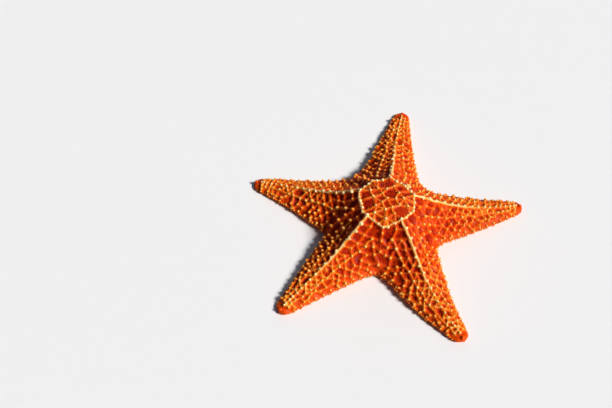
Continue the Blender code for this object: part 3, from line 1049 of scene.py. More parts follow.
granule_seed = grow("granule", 6, [(1.0, -0.30), (0.80, 0.45), (0.42, 0.86), (0.0, 0.98)])
for arm in range(len(ARMS)):
    at = granule_at[BODY.half[granule_at] // 2 == arm]
    chance, deep = RNG.uniform(0, 1, len(at)), SHADE[at, 0]
    width = granule_size(GRANULE_RADIUS, chance, deep)
    height = granule_size(GRANULE_HEIGHT, chance, deep)
    shift = RNG.normal(0, GRANULE_SHIFT, (len(at), 3))
    shift -= BODY.normals[at] * np.einsum("ij,ij->i", shift, BODY.normals[at])[:, None]
    piece = plant(f"granules_{arm + 1}", granule_seed, SURFACE[at] + shift, BODY.normals[at], width, height,
                  SKIN_UV[at], MARKS[at], chance)

# %% [markdown]
# The margin of each arm is built of stout plates, one above the other. Their places are found along the
# outline of each half, so many to a plate, and each spine needs to know which way is out.

# %% Places along the margin
TIP_CLEAR = 0.020             # the margin's spines stop this far from the tip


def margin_places(per_plate, offset):
    """Each half with its evenly spaced stations along the margin, so many to a plate."""
    for half in HALVES:
        pitch = (half.reach - SHOULDER) / PLATES / per_plate
        for number in range(int((half.reach - SHOULDER - TIP_CLEAR) / pitch)):
            yield half, SHOULDER + (number + offset) * pitch


def outward(half, station, rise):
    """Level direction away from the arm, tilted upwards by some rise."""
    away = half.point(station, 1.0) - half.point(station, 0.9)
    away[2] = 0
    return away / np.linalg.norm(away) + np.array([0, 0, rise])


def up(height):
    return np.array([0, 0, height])


def own_marks(at, pale, under=0.0):
    """Markings of a small body: those of its place, with its own paleness."""
    marks = MARKS[at].copy()
    marks[:, 0], marks[:, 1], marks[:, 3] = pale, 1.0, under
    return marks


print("places for margin knobs", len(list(margin_places(1, 0.5))))

# %% [markdown]
# Each upper plate carries a blunt knob. It is the same seed as the knobs of the back, only leaning
# outwards, so that the edge looks toothed from above.

# %% Knobs of the margin
UPPER_SHARE, UPPER_RISE = 0.955, 0.88                         # place on the flank, and upward tilt
UPPER_RADIUS, UPPER_HEIGHT = (1.40, 1.80), 1.15               # in mm by chance, and the height beside it
upper = list(margin_places(1, 0.5))
upper_at = skin_places([half.point(station, UPPER_SHARE) for half, station in upper])
upper_axes = [outward(half, station, UPPER_RISE) for half, station in upper]
upper_size = 1e-3 * RNG.uniform(*UPPER_RADIUS, len(upper_at)) * (1 - KNOB_SHRINK * MARKS[upper_at, 2])
margin_knobs = plant("margin_knobs", knob_seed, SURFACE[upper_at], upper_axes, upper_size,
                     upper_size * UPPER_HEIGHT, SKIN_UV[upper_at], own_marks(upper_at, 0.50),
                     RNG.uniform(0, 1, len(upper_at)))

# %% [markdown]
# The lower plates carry short spines in two tiers: three to a plate at the edge itself, and two to a plate
# just under it, pointing a little downwards. Random heights and tilts keep the edge from looking like a
# comb.

# %% Spines of the margin
EDGE_SHARE, EDGE_DROP, EDGE_RISE = 0.99, (-0.4e-3, 0.6e-3), (-0.1, 0.37)      # the tier at the edge
LOW_DROP, LOW_DROP_LOSS, LOW_RISE = 2.2e-3, 1.2e-3, -0.32     # the tier under it, less deep at the tip
SPINE_RADIUS, SPINE_HEIGHT, SPINE_SHRINK = (0.50, 0.90), 2.1, 0.35
spine_seed = grow("spine", 7, [(1.0, -0.25), (0.96, 0.30), (0.80, 0.68), (0.48, 0.92), (0.0, 1.0)])
lower_roots, lower_axes = [], []
for half, station in margin_places(3, 0.5):
    lower_roots.append(half.point(station, EDGE_SHARE) - up(RNG.uniform(*EDGE_DROP)))
    lower_axes.append(outward(half, station, RNG.uniform(*EDGE_RISE)))
for half, station in margin_places(2, 0.25):
    lower_roots.append(half.point(station, 1.0) - up(LOW_DROP - LOW_DROP_LOSS * float(half.along(station))))
    lower_axes.append(outward(half, station, LOW_RISE))
lower_at = skin_places(lower_roots)
lower_size = 1e-3 * RNG.uniform(*SPINE_RADIUS, len(lower_at)) * (1 - SPINE_SHRINK * MARKS[lower_at, 2])
margin_spines = plant("margin_spines", spine_seed, SURFACE[lower_at], lower_axes, lower_size,
                      lower_size * SPINE_HEIGHT, SKIN_UV[lower_at], own_marks(lower_at, 0.38),
                      RNG.uniform(0, 1, len(lower_at)))

# %% [markdown]
# Underneath, a groove runs from the mouth to the tip of every arm, with small plates along its lip. To
# place what grows there, two directions are needed at each station: ahead along the arm, and aside from its
# middle line.

# %% Helpers for the underside
LOOK_AHEAD = 0.01             # half of the stretch over which an arm's direction is taken


def groove_lip(half, station):
    return float(np.minimum(GROOVE, LIP_SHARE * half.room(station)))


def under_point(half, station, t):
    """Point of the underside at a sideways distance t from the middle line."""
    return half.point(station, t / float(half.half_width(half.outline_s(station))), top=False)


def frame_at(half, station):
    """Unit vectors along the arm and away from its middle line."""
    ahead = half.point(station + LOOK_AHEAD, 0.0) - half.point(station - LOOK_AHEAD, 0.0)
    ahead[2] = 0
    ahead /= np.linalg.norm(ahead)
    return ahead, half.side * np.array([-ahead[1], ahead[0], 0.0])


print("width of a groove in mm", round(2 * groove_lip(HALVES[0], 0.5) / MM, 1))

# %% [markdown]
# Every plate of the lip has a fan of three furrow spines that can close over the groove, and one stouter
# spine that lies outside them. The fans lean over the groove, and none may reach below the ground.

# %% Spines beside the grooves
FURROW_PITCH = 2.2 * MM
FURROW_START, FURROW_STOP = 0.012, 0.030                      # clear of the mouth, and of the tip
FAN, FAN_SHARE, FAN_IN, FAN_DOWN = (-0.45, 0.0, 0.45), 0.86, 0.75, 0.62
STOUT_OFF, STOUT_OUT, STOUT_DOWN, STOUT_TURN = 0.55 * MM, 0.80, 0.10, 0.15
FAN_RADIUS, FAN_HEIGHT, FAN_SPREAD = 0.30e-3, 2.0e-3, 0.5
FAN_CLEAR, FAN_STEEP = 0.1e-3, 0.6                            # these keep the fans off the ground
STOUT_RADIUS, STOUT_HEIGHT, STOUT_LIFT = 0.48e-3, 1.5e-3, 0.4e-3
GROOVE_SHRINK = 0.55
furrow_seed = grow("furrow_spine", 6, [(1.0, -0.2), (0.95, 0.45), (0.70, 0.85), (0.0, 1.0)])
fan_roots, fan_axes, stout_roots, stout_axes = [], [], [], []
for half in HALVES:
    for station in np.arange(MOUTH_RADIUS + FURROW_START, half.reach - FURROW_STOP, FURROW_PITCH):
        lip = groove_lip(half, station)
        ahead, aside = frame_at(half, station)
        for lean in FAN:
            fan_roots.append(under_point(half, station + lean * FAN_SPREAD * FURROW_PITCH, FAN_SHARE * lip))
            fan_axes.append(-FAN_IN * aside + lean * ahead - up(FAN_DOWN))
        turn = RNG.uniform(-STOUT_TURN, STOUT_TURN)
        stout_roots.append(under_point(half, station, lip + STOUT_OFF) + up(STOUT_LIFT))
        stout_axes.append(STOUT_OUT * aside + turn * ahead - up(STOUT_DOWN))
fan_roots, stout_roots = np.array(fan_roots), np.array(stout_roots)
fan_at, stout_at = skin_places(fan_roots), skin_places(stout_roots)
fan_shrink, stout_shrink = 1 - GROOVE_SHRINK * MARKS[fan_at, 2], 1 - GROOVE_SHRINK * MARKS[stout_at, 2]
fan_long = np.minimum(FAN_HEIGHT * fan_shrink, (fan_roots[:, 2] - FAN_CLEAR) / FAN_STEEP)
furrow_spines = plant("furrow_spines", furrow_seed, fan_roots, fan_axes, FAN_RADIUS * fan_shrink, fan_long,
                      SKIN_UV[fan_at], own_marks(fan_at, 0.5, 1.0), RNG.uniform(0, 1, len(fan_at)))
groove_spines = plant("groove_spines", furrow_seed, stout_roots, stout_axes, STOUT_RADIUS * stout_shrink,
                      STOUT_HEIGHT * stout_shrink, SKIN_UV[stout_at], own_marks(stout_at, 0.5, 1.0),
                      RNG.uniform(0, 1, len(stout_at)))

# %% [markdown]
# Two staggered rows of tube feet stand in each groove. A tube foot is a soft stalk with a sucker, so its
# rings draw in along the stalk, flare at the disc and turn in again for the hollow of the sucker.

# %% Tube feet in the grooves
FOOT_PITCH, FOOT_STOP = 1.9 * MM, 0.045
FOOT_ROWS = (0.38, 0.24)      # in shares of the groove's half width, by turns
FOOT_RADIUS, FOOT_THINNING, OFF_GROUND = 0.62e-3, 0.5, 0.25e-3
FOOT_AHEAD, FOOT_ASIDE, FOOT_REACH = (-0.25, 0.25), (-0.15, 0.25), (0.80, 1.0)     # lean and length by chance
foot_seed = grow("tube_foot", 8, [(1.0, -0.1), (0.78, 0.30), (0.72, 0.74), (1.10, 0.88), (1.05, 0.97),
                                  (0.35, 0.93), (0.0, 0.90)])
foot_roots, foot_axes = [], []
for half in HALVES:
    for number, station in enumerate(np.arange(MOUTH_RADIUS, half.reach - FOOT_STOP, FOOT_PITCH)):
        ahead, aside = frame_at(half, station)
        foot_roots.append(under_point(half, station, groove_lip(half, station) * FOOT_ROWS[number % 2]))
        foot_axes.append(RNG.uniform(*FOOT_AHEAD) * ahead + RNG.uniform(*FOOT_ASIDE) * aside - up(1.0))
foot_roots = np.array(foot_roots)
foot_at = skin_places(foot_roots)
foot_long = (foot_roots[:, 2] - OFF_GROUND) * RNG.uniform(*FOOT_REACH, len(foot_roots))
foot_wide = FOOT_RADIUS * (1 - FOOT_THINNING * MARKS[foot_at, 2])
tube_feet = plant("tube_feet", foot_seed, foot_roots, foot_axes, foot_wide, foot_long,
                  SKIN_UV[foot_at], own_marks(foot_at, 0.3, 1.0), RNG.uniform(0, 1, len(foot_at)))

# %% [markdown]
# The rest of the underside is paved with flat granules in slanting rows. A slanted grid with a little
# scatter gives the close, orderly paving of the real animal, which a free scattering would not.

# %% Paving of the underside
PAVE, SLANT = 1.45 * MM, 0.42
PAVE_START, PAVE_OFF = 0.02, 0.6                              # first station, and pitches off the groove
PAVE_WIDEST = 0.40            # further from an arm's middle line than any place of the underside
PAVE_SCATTER, PAVE_SIDEWAYS = 0.2, 0.15                       # in shares of the pitch
FROM_MOUTH, FROM_LIP, FROM_TIP, TO_EDGE = 0.012, 2.0 * MM, 0.015, 0.98
pave_roots, pave_arm = [], []
for half in HALVES:
    for start in np.arange(PAVE_START, half.reach, PAVE):
        for t in np.arange(GROOVE + PAVE_OFF * PAVE, PAVE_WIDEST, PAVE):
            s = start + SLANT * (t - GROOVE) + RNG.uniform(-PAVE_SCATTER, PAVE_SCATTER) * PAVE
            t_here = t + RNG.uniform(-PAVE_SIDEWAYS, PAVE_SIDEWAYS) * PAVE
            if s < half.reach - FROM_TIP:
                width = float(half.half_width(half.outline_s(s)))
                off_mouth = math.hypot(s, t_here) > MOUTH_RADIUS + FROM_MOUTH
                off_groove = t_here > groove_lip(half, s) + FROM_LIP
                if off_mouth and off_groove and t_here < TO_EDGE * width:
                    pave_roots.append(half.point(s, t_here / width, top=False))
                    pave_arm.append(half.index)
pave_roots, pave_arm = np.array(pave_roots), np.array(pave_arm)
print("paving granules", len(pave_roots))

# %% [markdown]
# The paving reuses the seed of the back's granules, only wider and flatter. One in four is larger than the
# rest.

# %% Plant the paving
LARGE_FROM, LARGE, COMMON = 0.75, 0.92e-3, 0.74e-3            # chance that makes one large, and the radii
NEAR_GROUND, LOW, TALL = 0.9e-3, 0.42e-3, 0.62e-3             # near the ground they are lower
PAVE_SHRINK, PAVE_LEAN, PAVE_DOWN = 0.3, 0.2, 0.8             # smaller at the tip, and mostly straight down
for arm in range(len(ARMS)):
    roots = pave_roots[pave_arm == arm]
    at = skin_places(roots)
    chance = RNG.uniform(0, 1, len(at))
    wide = np.where(chance > LARGE_FROM, LARGE, COMMON) * (1 - PAVE_SHRINK * MARKS[at, 2])
    high = np.where(roots[:, 2] < NEAR_GROUND, LOW, TALL)
    axes = PAVE_LEAN * BODY.normals[at] - up(PAVE_DOWN)
    piece = plant(f"paving_{arm + 1}", granule_seed, roots, axes, wide, high,
                  SKIN_UV[at], own_marks(at, 0.5, 1.0), chance)

# %% [markdown]
# The mouth sits in the middle of the underside, in a hollow where the five grooves meet. A folded skin
# closes it. It is grown as a wide flat seed of many sides, bent into folds by a sine wave round the middle,
# and turned over.

# %% Mouth skin
MOUTH_CENTRE = np.array([CENTRE[0], CENTRE[1], 0.0])
MOUTH_ROOF = MOUTH_BOX[1][2]
FOLDS, FOLD_HEIGHT = 20, 0.16e-3
FOLD_MIDDLE, FOLD_WIDTH = 0.026 * ARM_LENGTH, 0.016 * ARM_LENGTH
OPENING, OPENING_FADE = 0.016 * ARM_LENGTH, 0.008 * ARM_LENGTH
INTO_ROOF = 0.2e-3            # the mouth skin is rooted this far above the roof of its hollow
MOUTH_MARKS = (0.4, 0.0, 0.0, 1.0)                            # a little pale, and underneath
mouth_seed = grow("mouth_skin", 60, [(0.052, -0.0001), (0.049, 0.0006), (0.036, 0.0009), (0.024, 0.0012),
                                     (0.014, 0.0013), (0.009, 0.0009), (0.006, 0.0002), (0.0, 0.0)])
mouth_points = mouth_seed.points * np.array([ARM_LENGTH, ARM_LENGTH, 1.0])
radius = np.hypot(mouth_points[:, 0], mouth_points[:, 1])
angle = np.arctan2(mouth_points[:, 1], mouth_points[:, 0])
fold = FOLD_HEIGHT * np.sin(FOLDS * angle) * bell(radius - FOLD_MIDDLE, FOLD_WIDTH)
mouth_points[:, 2] = MOUTH_ROOF + INTO_ROOF - (mouth_points[:, 2] + fold)
mouth_faces = mouth_seed.faces[:, ::-1]
mouth_shade = np.zeros((len(mouth_points), 4))
# Painted shade at the middle of the mouth skin, where the mouth opens.
mouth_shade[:, 0] = smoothstep((OPENING - radius) / OPENING_FADE)
mouth_uv = 0.5 + UV_HALF * mouth_seed.points[:, :2] / MOUTH_RADIUS
mouth_skin = make_mesh("mouth_skin", mouth_points + MOUTH_CENTRE, mouth_faces,
                       corner_places(mouth_uv, mouth_faces, mouth_seed.foot),
                       np.tile(MOUTH_MARKS, (len(mouth_points), 1)), mouth_shade)
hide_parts("mouth")
print("mouth skin triangles", len(mouth_faces))

# %% [markdown]
# Between the grooves, five pairs of jaw plates point inwards over the mouth skin, each with a few blunt
# teeth. A jaw is an oval seed laid on its side, and its teeth are furrow spines of a stouter build.

# %% Jaws and teeth
JAW_TURN = 0.16               # radians from the middle of a bay to each jaw of its pair
JAW_OUT, JAW_UP, JAW_DIP = 0.060, 2.1e-3, 0.12
JAW_RADIUS, JAW_HEIGHT = 1.45e-3, 4.0e-3
TOOTH_OUT, TOOTH_UP, TOOTH_DIP = 0.036, 1.9e-3, 0.30
TOOTH_RADIUS, TOOTH_HEIGHT = 0.42e-3, 2.3e-3
TEETH, TOOTH_GAP, TOOTH_SPREAD = (-0.8, -0.3, 0.3, 0.8), 1.3e-3, 0.35
jaw_seed = grow("jaw", 12, [(1.0, -0.3), (0.98, 0.15), (0.86, 0.55), (0.62, 0.85), (0.30, 0.97), (0.0, 1.0)],
                squash=(1.0, 0.62))
jaw_roots, jaw_axes, tooth_roots, tooth_axes = [], [], [], []
for half in LEFT_HALVES:
    for side in (1, -1):
        turn = math.radians(half.bearing) + half.gap + side * JAW_TURN
        away = np.array([math.cos(turn), math.sin(turn), 0.0])
        aside = np.array([-away[1], away[0], 0.0])
        jaw_roots.append(MOUTH_CENTRE + away * JAW_OUT * ARM_LENGTH + up(JAW_UP))
        jaw_axes.append(-away - up(JAW_DIP))
        for lean in TEETH:
            sideways = aside * lean * TOOTH_GAP
            tooth_roots.append(MOUTH_CENTRE + away * TOOTH_OUT * ARM_LENGTH + sideways + up(TOOTH_UP))
            tooth_axes.append(-away + TOOTH_SPREAD * lean * aside - up(TOOTH_DIP))
jaw_roots, tooth_roots = np.array(jaw_roots), np.array(tooth_roots)
jaw_at, tooth_at = skin_places(jaw_roots), skin_places(tooth_roots)
jaws = plant("jaws", jaw_seed, jaw_roots, jaw_axes, np.full(len(jaw_at), JAW_RADIUS),
             np.full(len(jaw_at), JAW_HEIGHT), SKIN_UV[jaw_at], own_marks(jaw_at, 0.6, 1.0),
             np.zeros(len(jaw_at)))
teeth = plant("teeth", furrow_seed, tooth_roots, tooth_axes, np.full(len(tooth_at), TOOTH_RADIUS),
              np.full(len(tooth_at), TOOTH_HEIGHT), SKIN_UV[tooth_at], own_marks(tooth_at, 0.7, 1.0),
              RNG.uniform(0, 1, len(tooth_at)))

# %% [markdown]
# The sieve plate takes in water. It is a small domed button beside the crown, scored with winding grooves
# like a brain coral. The button is a seed with many close rings. Its grooves are cut by a sine wave round
# the middle, made to wind by noise, and the same wave paints shade into them.

# %% Sieve plate at unit size
SIEVE_DOME, SIEVE_CUT = 0.30, 0.095
SIEVE_RINGS, SIEVE_WAVES = 22, 13
SIEVE_OUTER, SIEVE_INNER, SIEVE_ROUND = 0.98, 0.05, 0.95      # radii of its rings, and how round its dome is
CUT_EDGE, CUT_FADE, CUT_MIDDLE = 0.97, 0.1, 0.12              # no grooves at the edge and in the middle
CUT_FROM, CUT_OVER = 0.1, 0.7                                 # part of the wave that is cut away
WIND_SCALE, WIND, SPIRAL = 2.4, 9, 5                          # how the grooves wander, and how they spiral
sieve_rings = [(1.0, -0.45), (1.0, -0.05)]
for radius in np.linspace(SIEVE_OUTER, SIEVE_INNER, SIEVE_RINGS):
    sieve_rings.append((radius, SIEVE_DOME * math.sqrt(1 - (SIEVE_ROUND * radius) ** 2)))
sieve_seed = grow("sieve", 64, sieve_rings + [(0.0, SIEVE_DOME + 0.001)])
unit_points = sieve_seed.points.copy()
unit_radius = np.hypot(unit_points[:, 0], unit_points[:, 1])
unit_angle = np.arctan2(unit_points[:, 1], unit_points[:, 0])
winding = np.array([noise.noise(Vector((x * WIND_SCALE, y * WIND_SCALE, 3.0))) for x, y, _ in unit_points])
wave = np.sin(unit_angle * SIEVE_WAVES + winding * WIND + unit_radius * SPIRAL)
inside = smoothstep((CUT_EDGE - unit_radius) / CUT_FADE) * smoothstep(unit_radius / CUT_MIDDLE)
inside *= unit_points[:, 2] > 0.0
sieve_groove = smoothstep((wave - CUT_FROM) / CUT_OVER) * inside
unit_points[:, 2] -= SIEVE_CUT * sieve_groove
print("sieve triangles", len(sieve_seed.faces), "share in grooves", round(float(sieve_groove.mean()), 2))

# %% [markdown]
# The button is then laid on the skin at its own solid's place, tilted to the skin there. An average of the
# nearest normals gives a steady tilt, where a single one could lean on a ridge.

# %% Sieve plate in its place
SIEVE_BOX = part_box("sieve_plate")
SIEVE_RADIUS, SIEVE_RISE = 2.7e-3, 0.5e-3
SIEVE_PALE, GROOVE_PAINTED_SHADE = 0.75, 0.45                          # paleness, and how much less in its grooves
TILT_POINTS = 60              # so many skin points settle the tilt
sieve_middle = [(SIEVE_BOX[0][k] + SIEVE_BOX[1][k]) / 2 for k in range(3)]
sieve_at = SKIN_TREE.find(sieve_middle)[1]
around = [found[1] for found in SKIN_TREE.find_n(SURFACE[sieve_at], TILT_POINTS)]
sieve_normal = unit(BODY.normals[around].mean(axis=0))
aside = unit(np.cross(sieve_normal, (0.0, 0.0, 1.0)))
turned = unit_points @ np.array([aside, np.cross(sieve_normal, aside), sieve_normal])
sieve_points = SURFACE[sieve_at] + SIEVE_RADIUS * turned + sieve_normal * SIEVE_RISE
sieve_marks = np.tile([SIEVE_PALE, 1.0, 0.0, 0.0], (len(turned), 1))
sieve_shade = np.zeros((len(turned), 4))
# Painted shade in the grooves: they take the dark pit colour and lose some paleness.
sieve_shade[:, 0] = sieve_groove
sieve_marks[:, 0] -= GROOVE_PAINTED_SHADE * sieve_groove
sieve_uv = 0.5 + UV_HALF * unit_points[:, :2]
sieve = make_mesh("sieve_detail", sieve_points, sieve_seed.faces,
                  corner_places(sieve_uv, sieve_seed.faces, sieve_seed.foot), sieve_marks, sieve_shade)
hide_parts("sieve_plate")
print("sieve plate at", (SURFACE[sieve_at] * 1000).round(1), "mm")

# %% [markdown]
# Each arm ends in a small smooth plate, and under its edge sits the animal's only kind of eye: a spot of
# red pigment that tells light from dark. The plate is an oval seed that follows the tilt of the arm's end.

# %% Eye plates and eyespots
EYE_BACK, EYE_RADIUS, EYE_HEIGHT, EYE_SUNK = 0.012, 1.75e-3, 1.25e-3, 0.5e-3
EYE_LOOK, EYE_LEAN, EYE_TURN = 0.03, 0.55, 0.25               # direction taken behind it, lean, and turn
SPOT_SIZE, SPOT_BACK, SPOT_DOWN, SPOT_DIP = 0.55e-3, 0.15e-3, 0.9e-3, 0.35
eye_seed = grow("eye_plate", 16, [(1.0, -0.35), (1.0, 0.10), (0.90, 0.38), (0.66, 0.62), (0.34, 0.76),
                                  (0.0, 0.80)], squash=(1.0, 0.80))
spot_seed = grow("eyespot", 10, [(0.5, -0.9), (0.9, -0.45), (1.0, 0.0), (0.85, 0.5), (0.5, 0.86), (0.0, 1.0)])
spot_roots, spot_axes = [], []
for half in LEFT_HALVES:
    station = half.reach - EYE_BACK
    root = half.point(station, 0.0)[None]
    at = skin_places(root)
    ahead, _ = frame_at(half, station - EYE_LOOK)
    axis = unit(ahead * EYE_LEAN + up(1.0))[None]
    plate = plant(f"eye_plate_{half.index + 1}", eye_seed, root - axis * EYE_SUNK, axis,
                  np.array([EYE_RADIUS]), np.array([EYE_HEIGHT]), SKIN_UV[at], own_marks(at, 0.0),
                  np.array([EYE_TURN]))
    spot_roots.append(half.point(half.reach, 0.0) - ahead * SPOT_BACK - up(SPOT_DOWN))
    spot_axes.append(ahead - up(SPOT_DIP))
spot_at = skin_places(spot_roots)
spot_size = np.full(len(spot_roots), SPOT_SIZE)
eyespots = plant("eyespots", spot_seed, np.array(spot_roots), spot_axes, spot_size, spot_size,
                 SKIN_UV[spot_at], own_marks(spot_at, 0.0), np.zeros(len(spot_roots)))

# %% [markdown]
# Materials are node trees. Building them by hand means adding nodes and drawing links between their
# sockets, so a small helper does just that: it adds a node, and puts either a value or a link on each of
# its inputs.

# %% A helper for node trees


class Board:
    """Adds nodes to a tree and links their sockets."""

    def __init__(self, tree):
        self.tree = tree

    def put(self, place, value):
        if isinstance(value, bpy.types.NodeSocket):
            self.tree.links.new(value, place)
        else:
            place.default_value = value

    def node(self, kind, settings=None, **inputs):
        node = self.tree.nodes.new(kind)
        for name, value in (settings or {}).items():
            setattr(node, name, value)
        for name, value in inputs.items():
            self.put(node.inputs[name.replace("_", " ")], value)
        return node

    def mix(self, factor, a, b):
        """Mix two colours; a mix node keeps its colour sockets at 6 and 7, and its colour output at 2."""
        node = self.node("ShaderNodeMix", {"data_type": "RGBA"})
        for number, value in ((0, factor), (6, a), (7, b)):
            self.put(node.inputs[number], value)
        return node.outputs[2]

    def math(self, operation, *values):
        node = self.node("ShaderNodeMath", {"operation": operation})
        for number, value in enumerate(values):
            self.put(node.inputs[number], value)
        return node.outputs[0]

    def ramp(self, value, low, high):
        """0 below low and 1 above high, with a soft rise between; low above high turns it round."""
        node = self.node("ShaderNodeMapRange", {"interpolation_type": "SMOOTHSTEP"})
        for number, item in enumerate((value, low, high)):
            self.put(node.inputs[number], item)
        return node.outputs[0]

    def channels(self, attribute):
        source = self.node("ShaderNodeAttribute", {"attribute_name": attribute})
        split = self.node("ShaderNodeSeparateColor", Color=source.outputs["Color"])
        return [*split.outputs, source.outputs["Alpha"]]

    def noise(self, scale, detail, rough):
        place = self.node("ShaderNodeTexCoord").outputs["Object"]
        node = self.node("ShaderNodeTexNoise", Vector=place, Scale=scale, Detail=detail, Roughness=rough)
        return node.outputs["Fac"]


def new_group(name, inputs, outputs):
    """A node group with named sockets, its board, and what it is given and gives."""
    group = bpy.data.node_groups.new(name, "ShaderNodeTree")
    for label, value in inputs:
        kind = "NodeSocketColor" if isinstance(value, tuple) else "NodeSocketFloat"
        group.interface.new_socket(label, in_out="INPUT", socket_type=kind).default_value = value
    for label, kind in outputs:
        group.interface.new_socket(label, in_out="OUTPUT", socket_type=kind)
    given, result = group.nodes.new("NodeGroupInput"), group.nodes.new("NodeGroupOutput")
    return group, Board(group), given.outputs, result.inputs


print("a board can make", [name for name in vars(Board) if not name.startswith("_")])

# %% [markdown]
# One paint scheme serves the skin and all that grows on it. It reads the marking attributes: red between
# the ridges, painted shade in the pits, orange on the small ridges, then gold and cream on the pale ones,
# and a paler colour underneath. The red turns orange towards the end of an arm, and red again at its very
# end. Cloudy noise drifts the red towards orange too, and fine noise breaks up the edges of orange and gold.

# %% The paint scheme


def paint_scheme():
    group, board, given, result = new_group(
        "sea_star_paint",
        [("Red", (0.60, 0.028, 0.002, 1)), ("Painted Shade", (0.30, 0.009, 0.001, 1)),
         ("Orange", (0.84, 0.125, 0.002, 1)), ("Gold", (0.92, 0.40, 0.030, 1)),
         ("Cream", (0.97, 0.82, 0.46, 1)), ("Belly", (0.78, 0.33, 0.075, 1))],
        [("Color", "NodeSocketColor"), ("Pale", "NodeSocketFloat")])
    pale, orange, along, under = board.channels("marks")
    pit = board.channels("shade")[0]
    cloud, speck = board.noise(95.0, 3.0, 0.55), board.noise(900.0, 2.0, 0.6)
    steps = ((("MULTIPLY", board.ramp(cloud, 0.42, 0.68), 0.5), "Orange"),
             (("MULTIPLY", board.ramp(along, 0.55, 1.0), 0.45), "Orange"),
             (("MULTIPLY", board.ramp(along, 0.93, 1.0), 0.60), "Red"),
             # Painted shade: the dark colour laid into the pits, the sieve's grooves and the middle of the
             # mouth.
             (("MULTIPLY", pit, board.ramp(cloud, 0.90, 0.35)), "Painted Shade"),
             (("MULTIPLY", orange, board.ramp(speck, 0.20, 0.55)), "Orange"),
             (("MULTIPLY", board.ramp(pale, 0.05, 0.50), board.ramp(speck, 0.15, 0.50)), "Gold"),
             (("MULTIPLY", board.ramp(pale, 0.45, 0.95), 1.0), "Cream"))
    colour = given["Red"]
    for amount, name in steps:
        colour = board.mix(board.math(*amount), colour, given[name])
    drift = board.math("MULTIPLY", board.ramp(cloud, 0.35, 0.7), 0.6)
    belly = board.mix(drift, given["Belly"], given["Orange"])
    board.put(result["Color"], board.mix(under, colour, belly))
    board.put(result["Pale"], pale)
    return group


PAINT = paint_scheme()
print("paint scheme nodes", len(PAINT.nodes))

# %% [markdown]
# Two more effects are shared. On knobs, beads and spines the tip is paler than the foot, as if worn by the
# sea: the tint grows with the height on the body, and more so where the body is pale. A fine grain gives
# every wet surface its small bumps and an uneven gloss.

# %% The tint of tips, and the grain


def tip_tint():
    group, board, given, result = new_group(
        "tip_tint",
        [("Color", (1.0, 1.0, 1.0, 1)), ("Tip", (0.98, 0.80, 0.40, 1)), ("Pale", 0.0), ("Amount", 0.5)],
        [("Color", "NodeSocketColor")])
    level = board.ramp(board.channels("shade")[1], 0.35, 0.95)
    share = board.math("MULTIPLY", board.math("MULTIPLY_ADD", given["Pale"], 0.65, 0.35), given["Amount"])
    board.put(result["Color"], board.mix(board.math("MULTIPLY", level, share), given["Color"], given["Tip"]))
    return group


def wet_grain():
    group, board, given, result = new_group("wet_grain", [("Roughness", 0.34)],
                                            [("Roughness", "NodeSocketFloat"), ("Height", "NodeSocketFloat")])
    grain = board.noise(1500.0, 2.0, 0.6)
    low = board.math("SUBTRACT", given["Roughness"], 0.12)
    board.put(result["Roughness"], board.math("MULTIPLY_ADD", grain, 0.25, low))
    board.put(result["Height"], grain)
    return group


TIP_TINT, GRAIN = tip_tint(), wet_grain()
print("tint and grain nodes", len(TIP_TINT.nodes), len(GRAIN.nodes))

# %% [markdown]
# A finish puts these groups in front of a Principled shader. The skin of a live sea star is leathery and
# wet, so its gloss is weak and broad, and some finishes add a thin clear coat of water. The granules vary
# by chance, some brighter and some nearly maroon, but not where they stand on pale ridges.

# %% A wet, leathery finish
BRIGHT_GRANULE, DARK_GRANULE = (0.88, 0.13, 0.003, 1), (0.17, 0.006, 0.001, 1)
GLOSS, COAT_ROUGHNESS = 0.19, 0.25
BUMP_DEPTH = 0.0004           # metres


def vary_by_chance(board, colour, pale):
    chance = board.channels("shade")[2]
    plain = board.math("SUBTRACT", 1.0, pale)
    for low, high, amount, other in ((0.55, 0.95, 0.75, BRIGHT_GRANULE), (0.32, 0.0, 0.70, DARK_GRANULE)):
        share = board.math("MULTIPLY", board.ramp(chance, low, high), plain)
        colour = board.mix(board.math("MULTIPLY", share, amount), colour, other)
    return colour


def finish_of(name, roughness, coat, bump, colours=None, tip=None, tip_amount=0.0, varied=False):
    material = bpy.data.materials.new(name)
    material.use_nodes = True
    board = Board(material.node_tree)
    shader = material.node_tree.nodes["Principled BSDF"]
    paint = board.node("ShaderNodeGroup", {"node_tree": PAINT}, **(colours or {}))
    colour = paint.outputs["Color"]
    if tip:
        colour = board.node("ShaderNodeGroup", {"node_tree": TIP_TINT}, Color=colour, Tip=tip,
                            Pale=paint.outputs["Pale"], Amount=tip_amount).outputs["Color"]
    if varied:
        colour = vary_by_chance(board, colour, paint.outputs["Pale"])
    grain = board.node("ShaderNodeGroup", {"node_tree": GRAIN}, Roughness=roughness)
    bumps = board.node("ShaderNodeBump", Strength=bump, Distance=BUMP_DEPTH, Height=grain.outputs["Height"])
    for place, value in (("Base Color", colour), ("Roughness", grain.outputs["Roughness"]),
                         ("Normal", bumps.outputs["Normal"]), ("Specular IOR Level", GLOSS),
                         ("Coat Weight", coat), ("Coat Roughness", COAT_ROUGHNESS)):
        board.put(shader.inputs[place], value)
    return material


print("shared groups", [group.name for group in (PAINT, TIP_TINT, GRAIN)])

# %% [markdown]
# Now each kind of piece gets its own finish. What differs is told by a few values: how rough, how wet, how
# bumpy, and which colour the tips fade to. Knobs end in cream, margin spines in amber, and tube feet in
# pale straw.

# %% Dress the back
PIECES = {piece.name: piece for piece in bpy.context.scene.objects if piece.type == "MESH"}


def dress(names, material):
    for name in names:
        PIECES[name].data.materials.clear()
        PIECES[name].data.materials.append(material)
    print(material.name, "on", ", ".join(names))


def arm_names(stem):
    return [f"{stem}_{number}" for number in range(1, len(ARMS) + 1)]


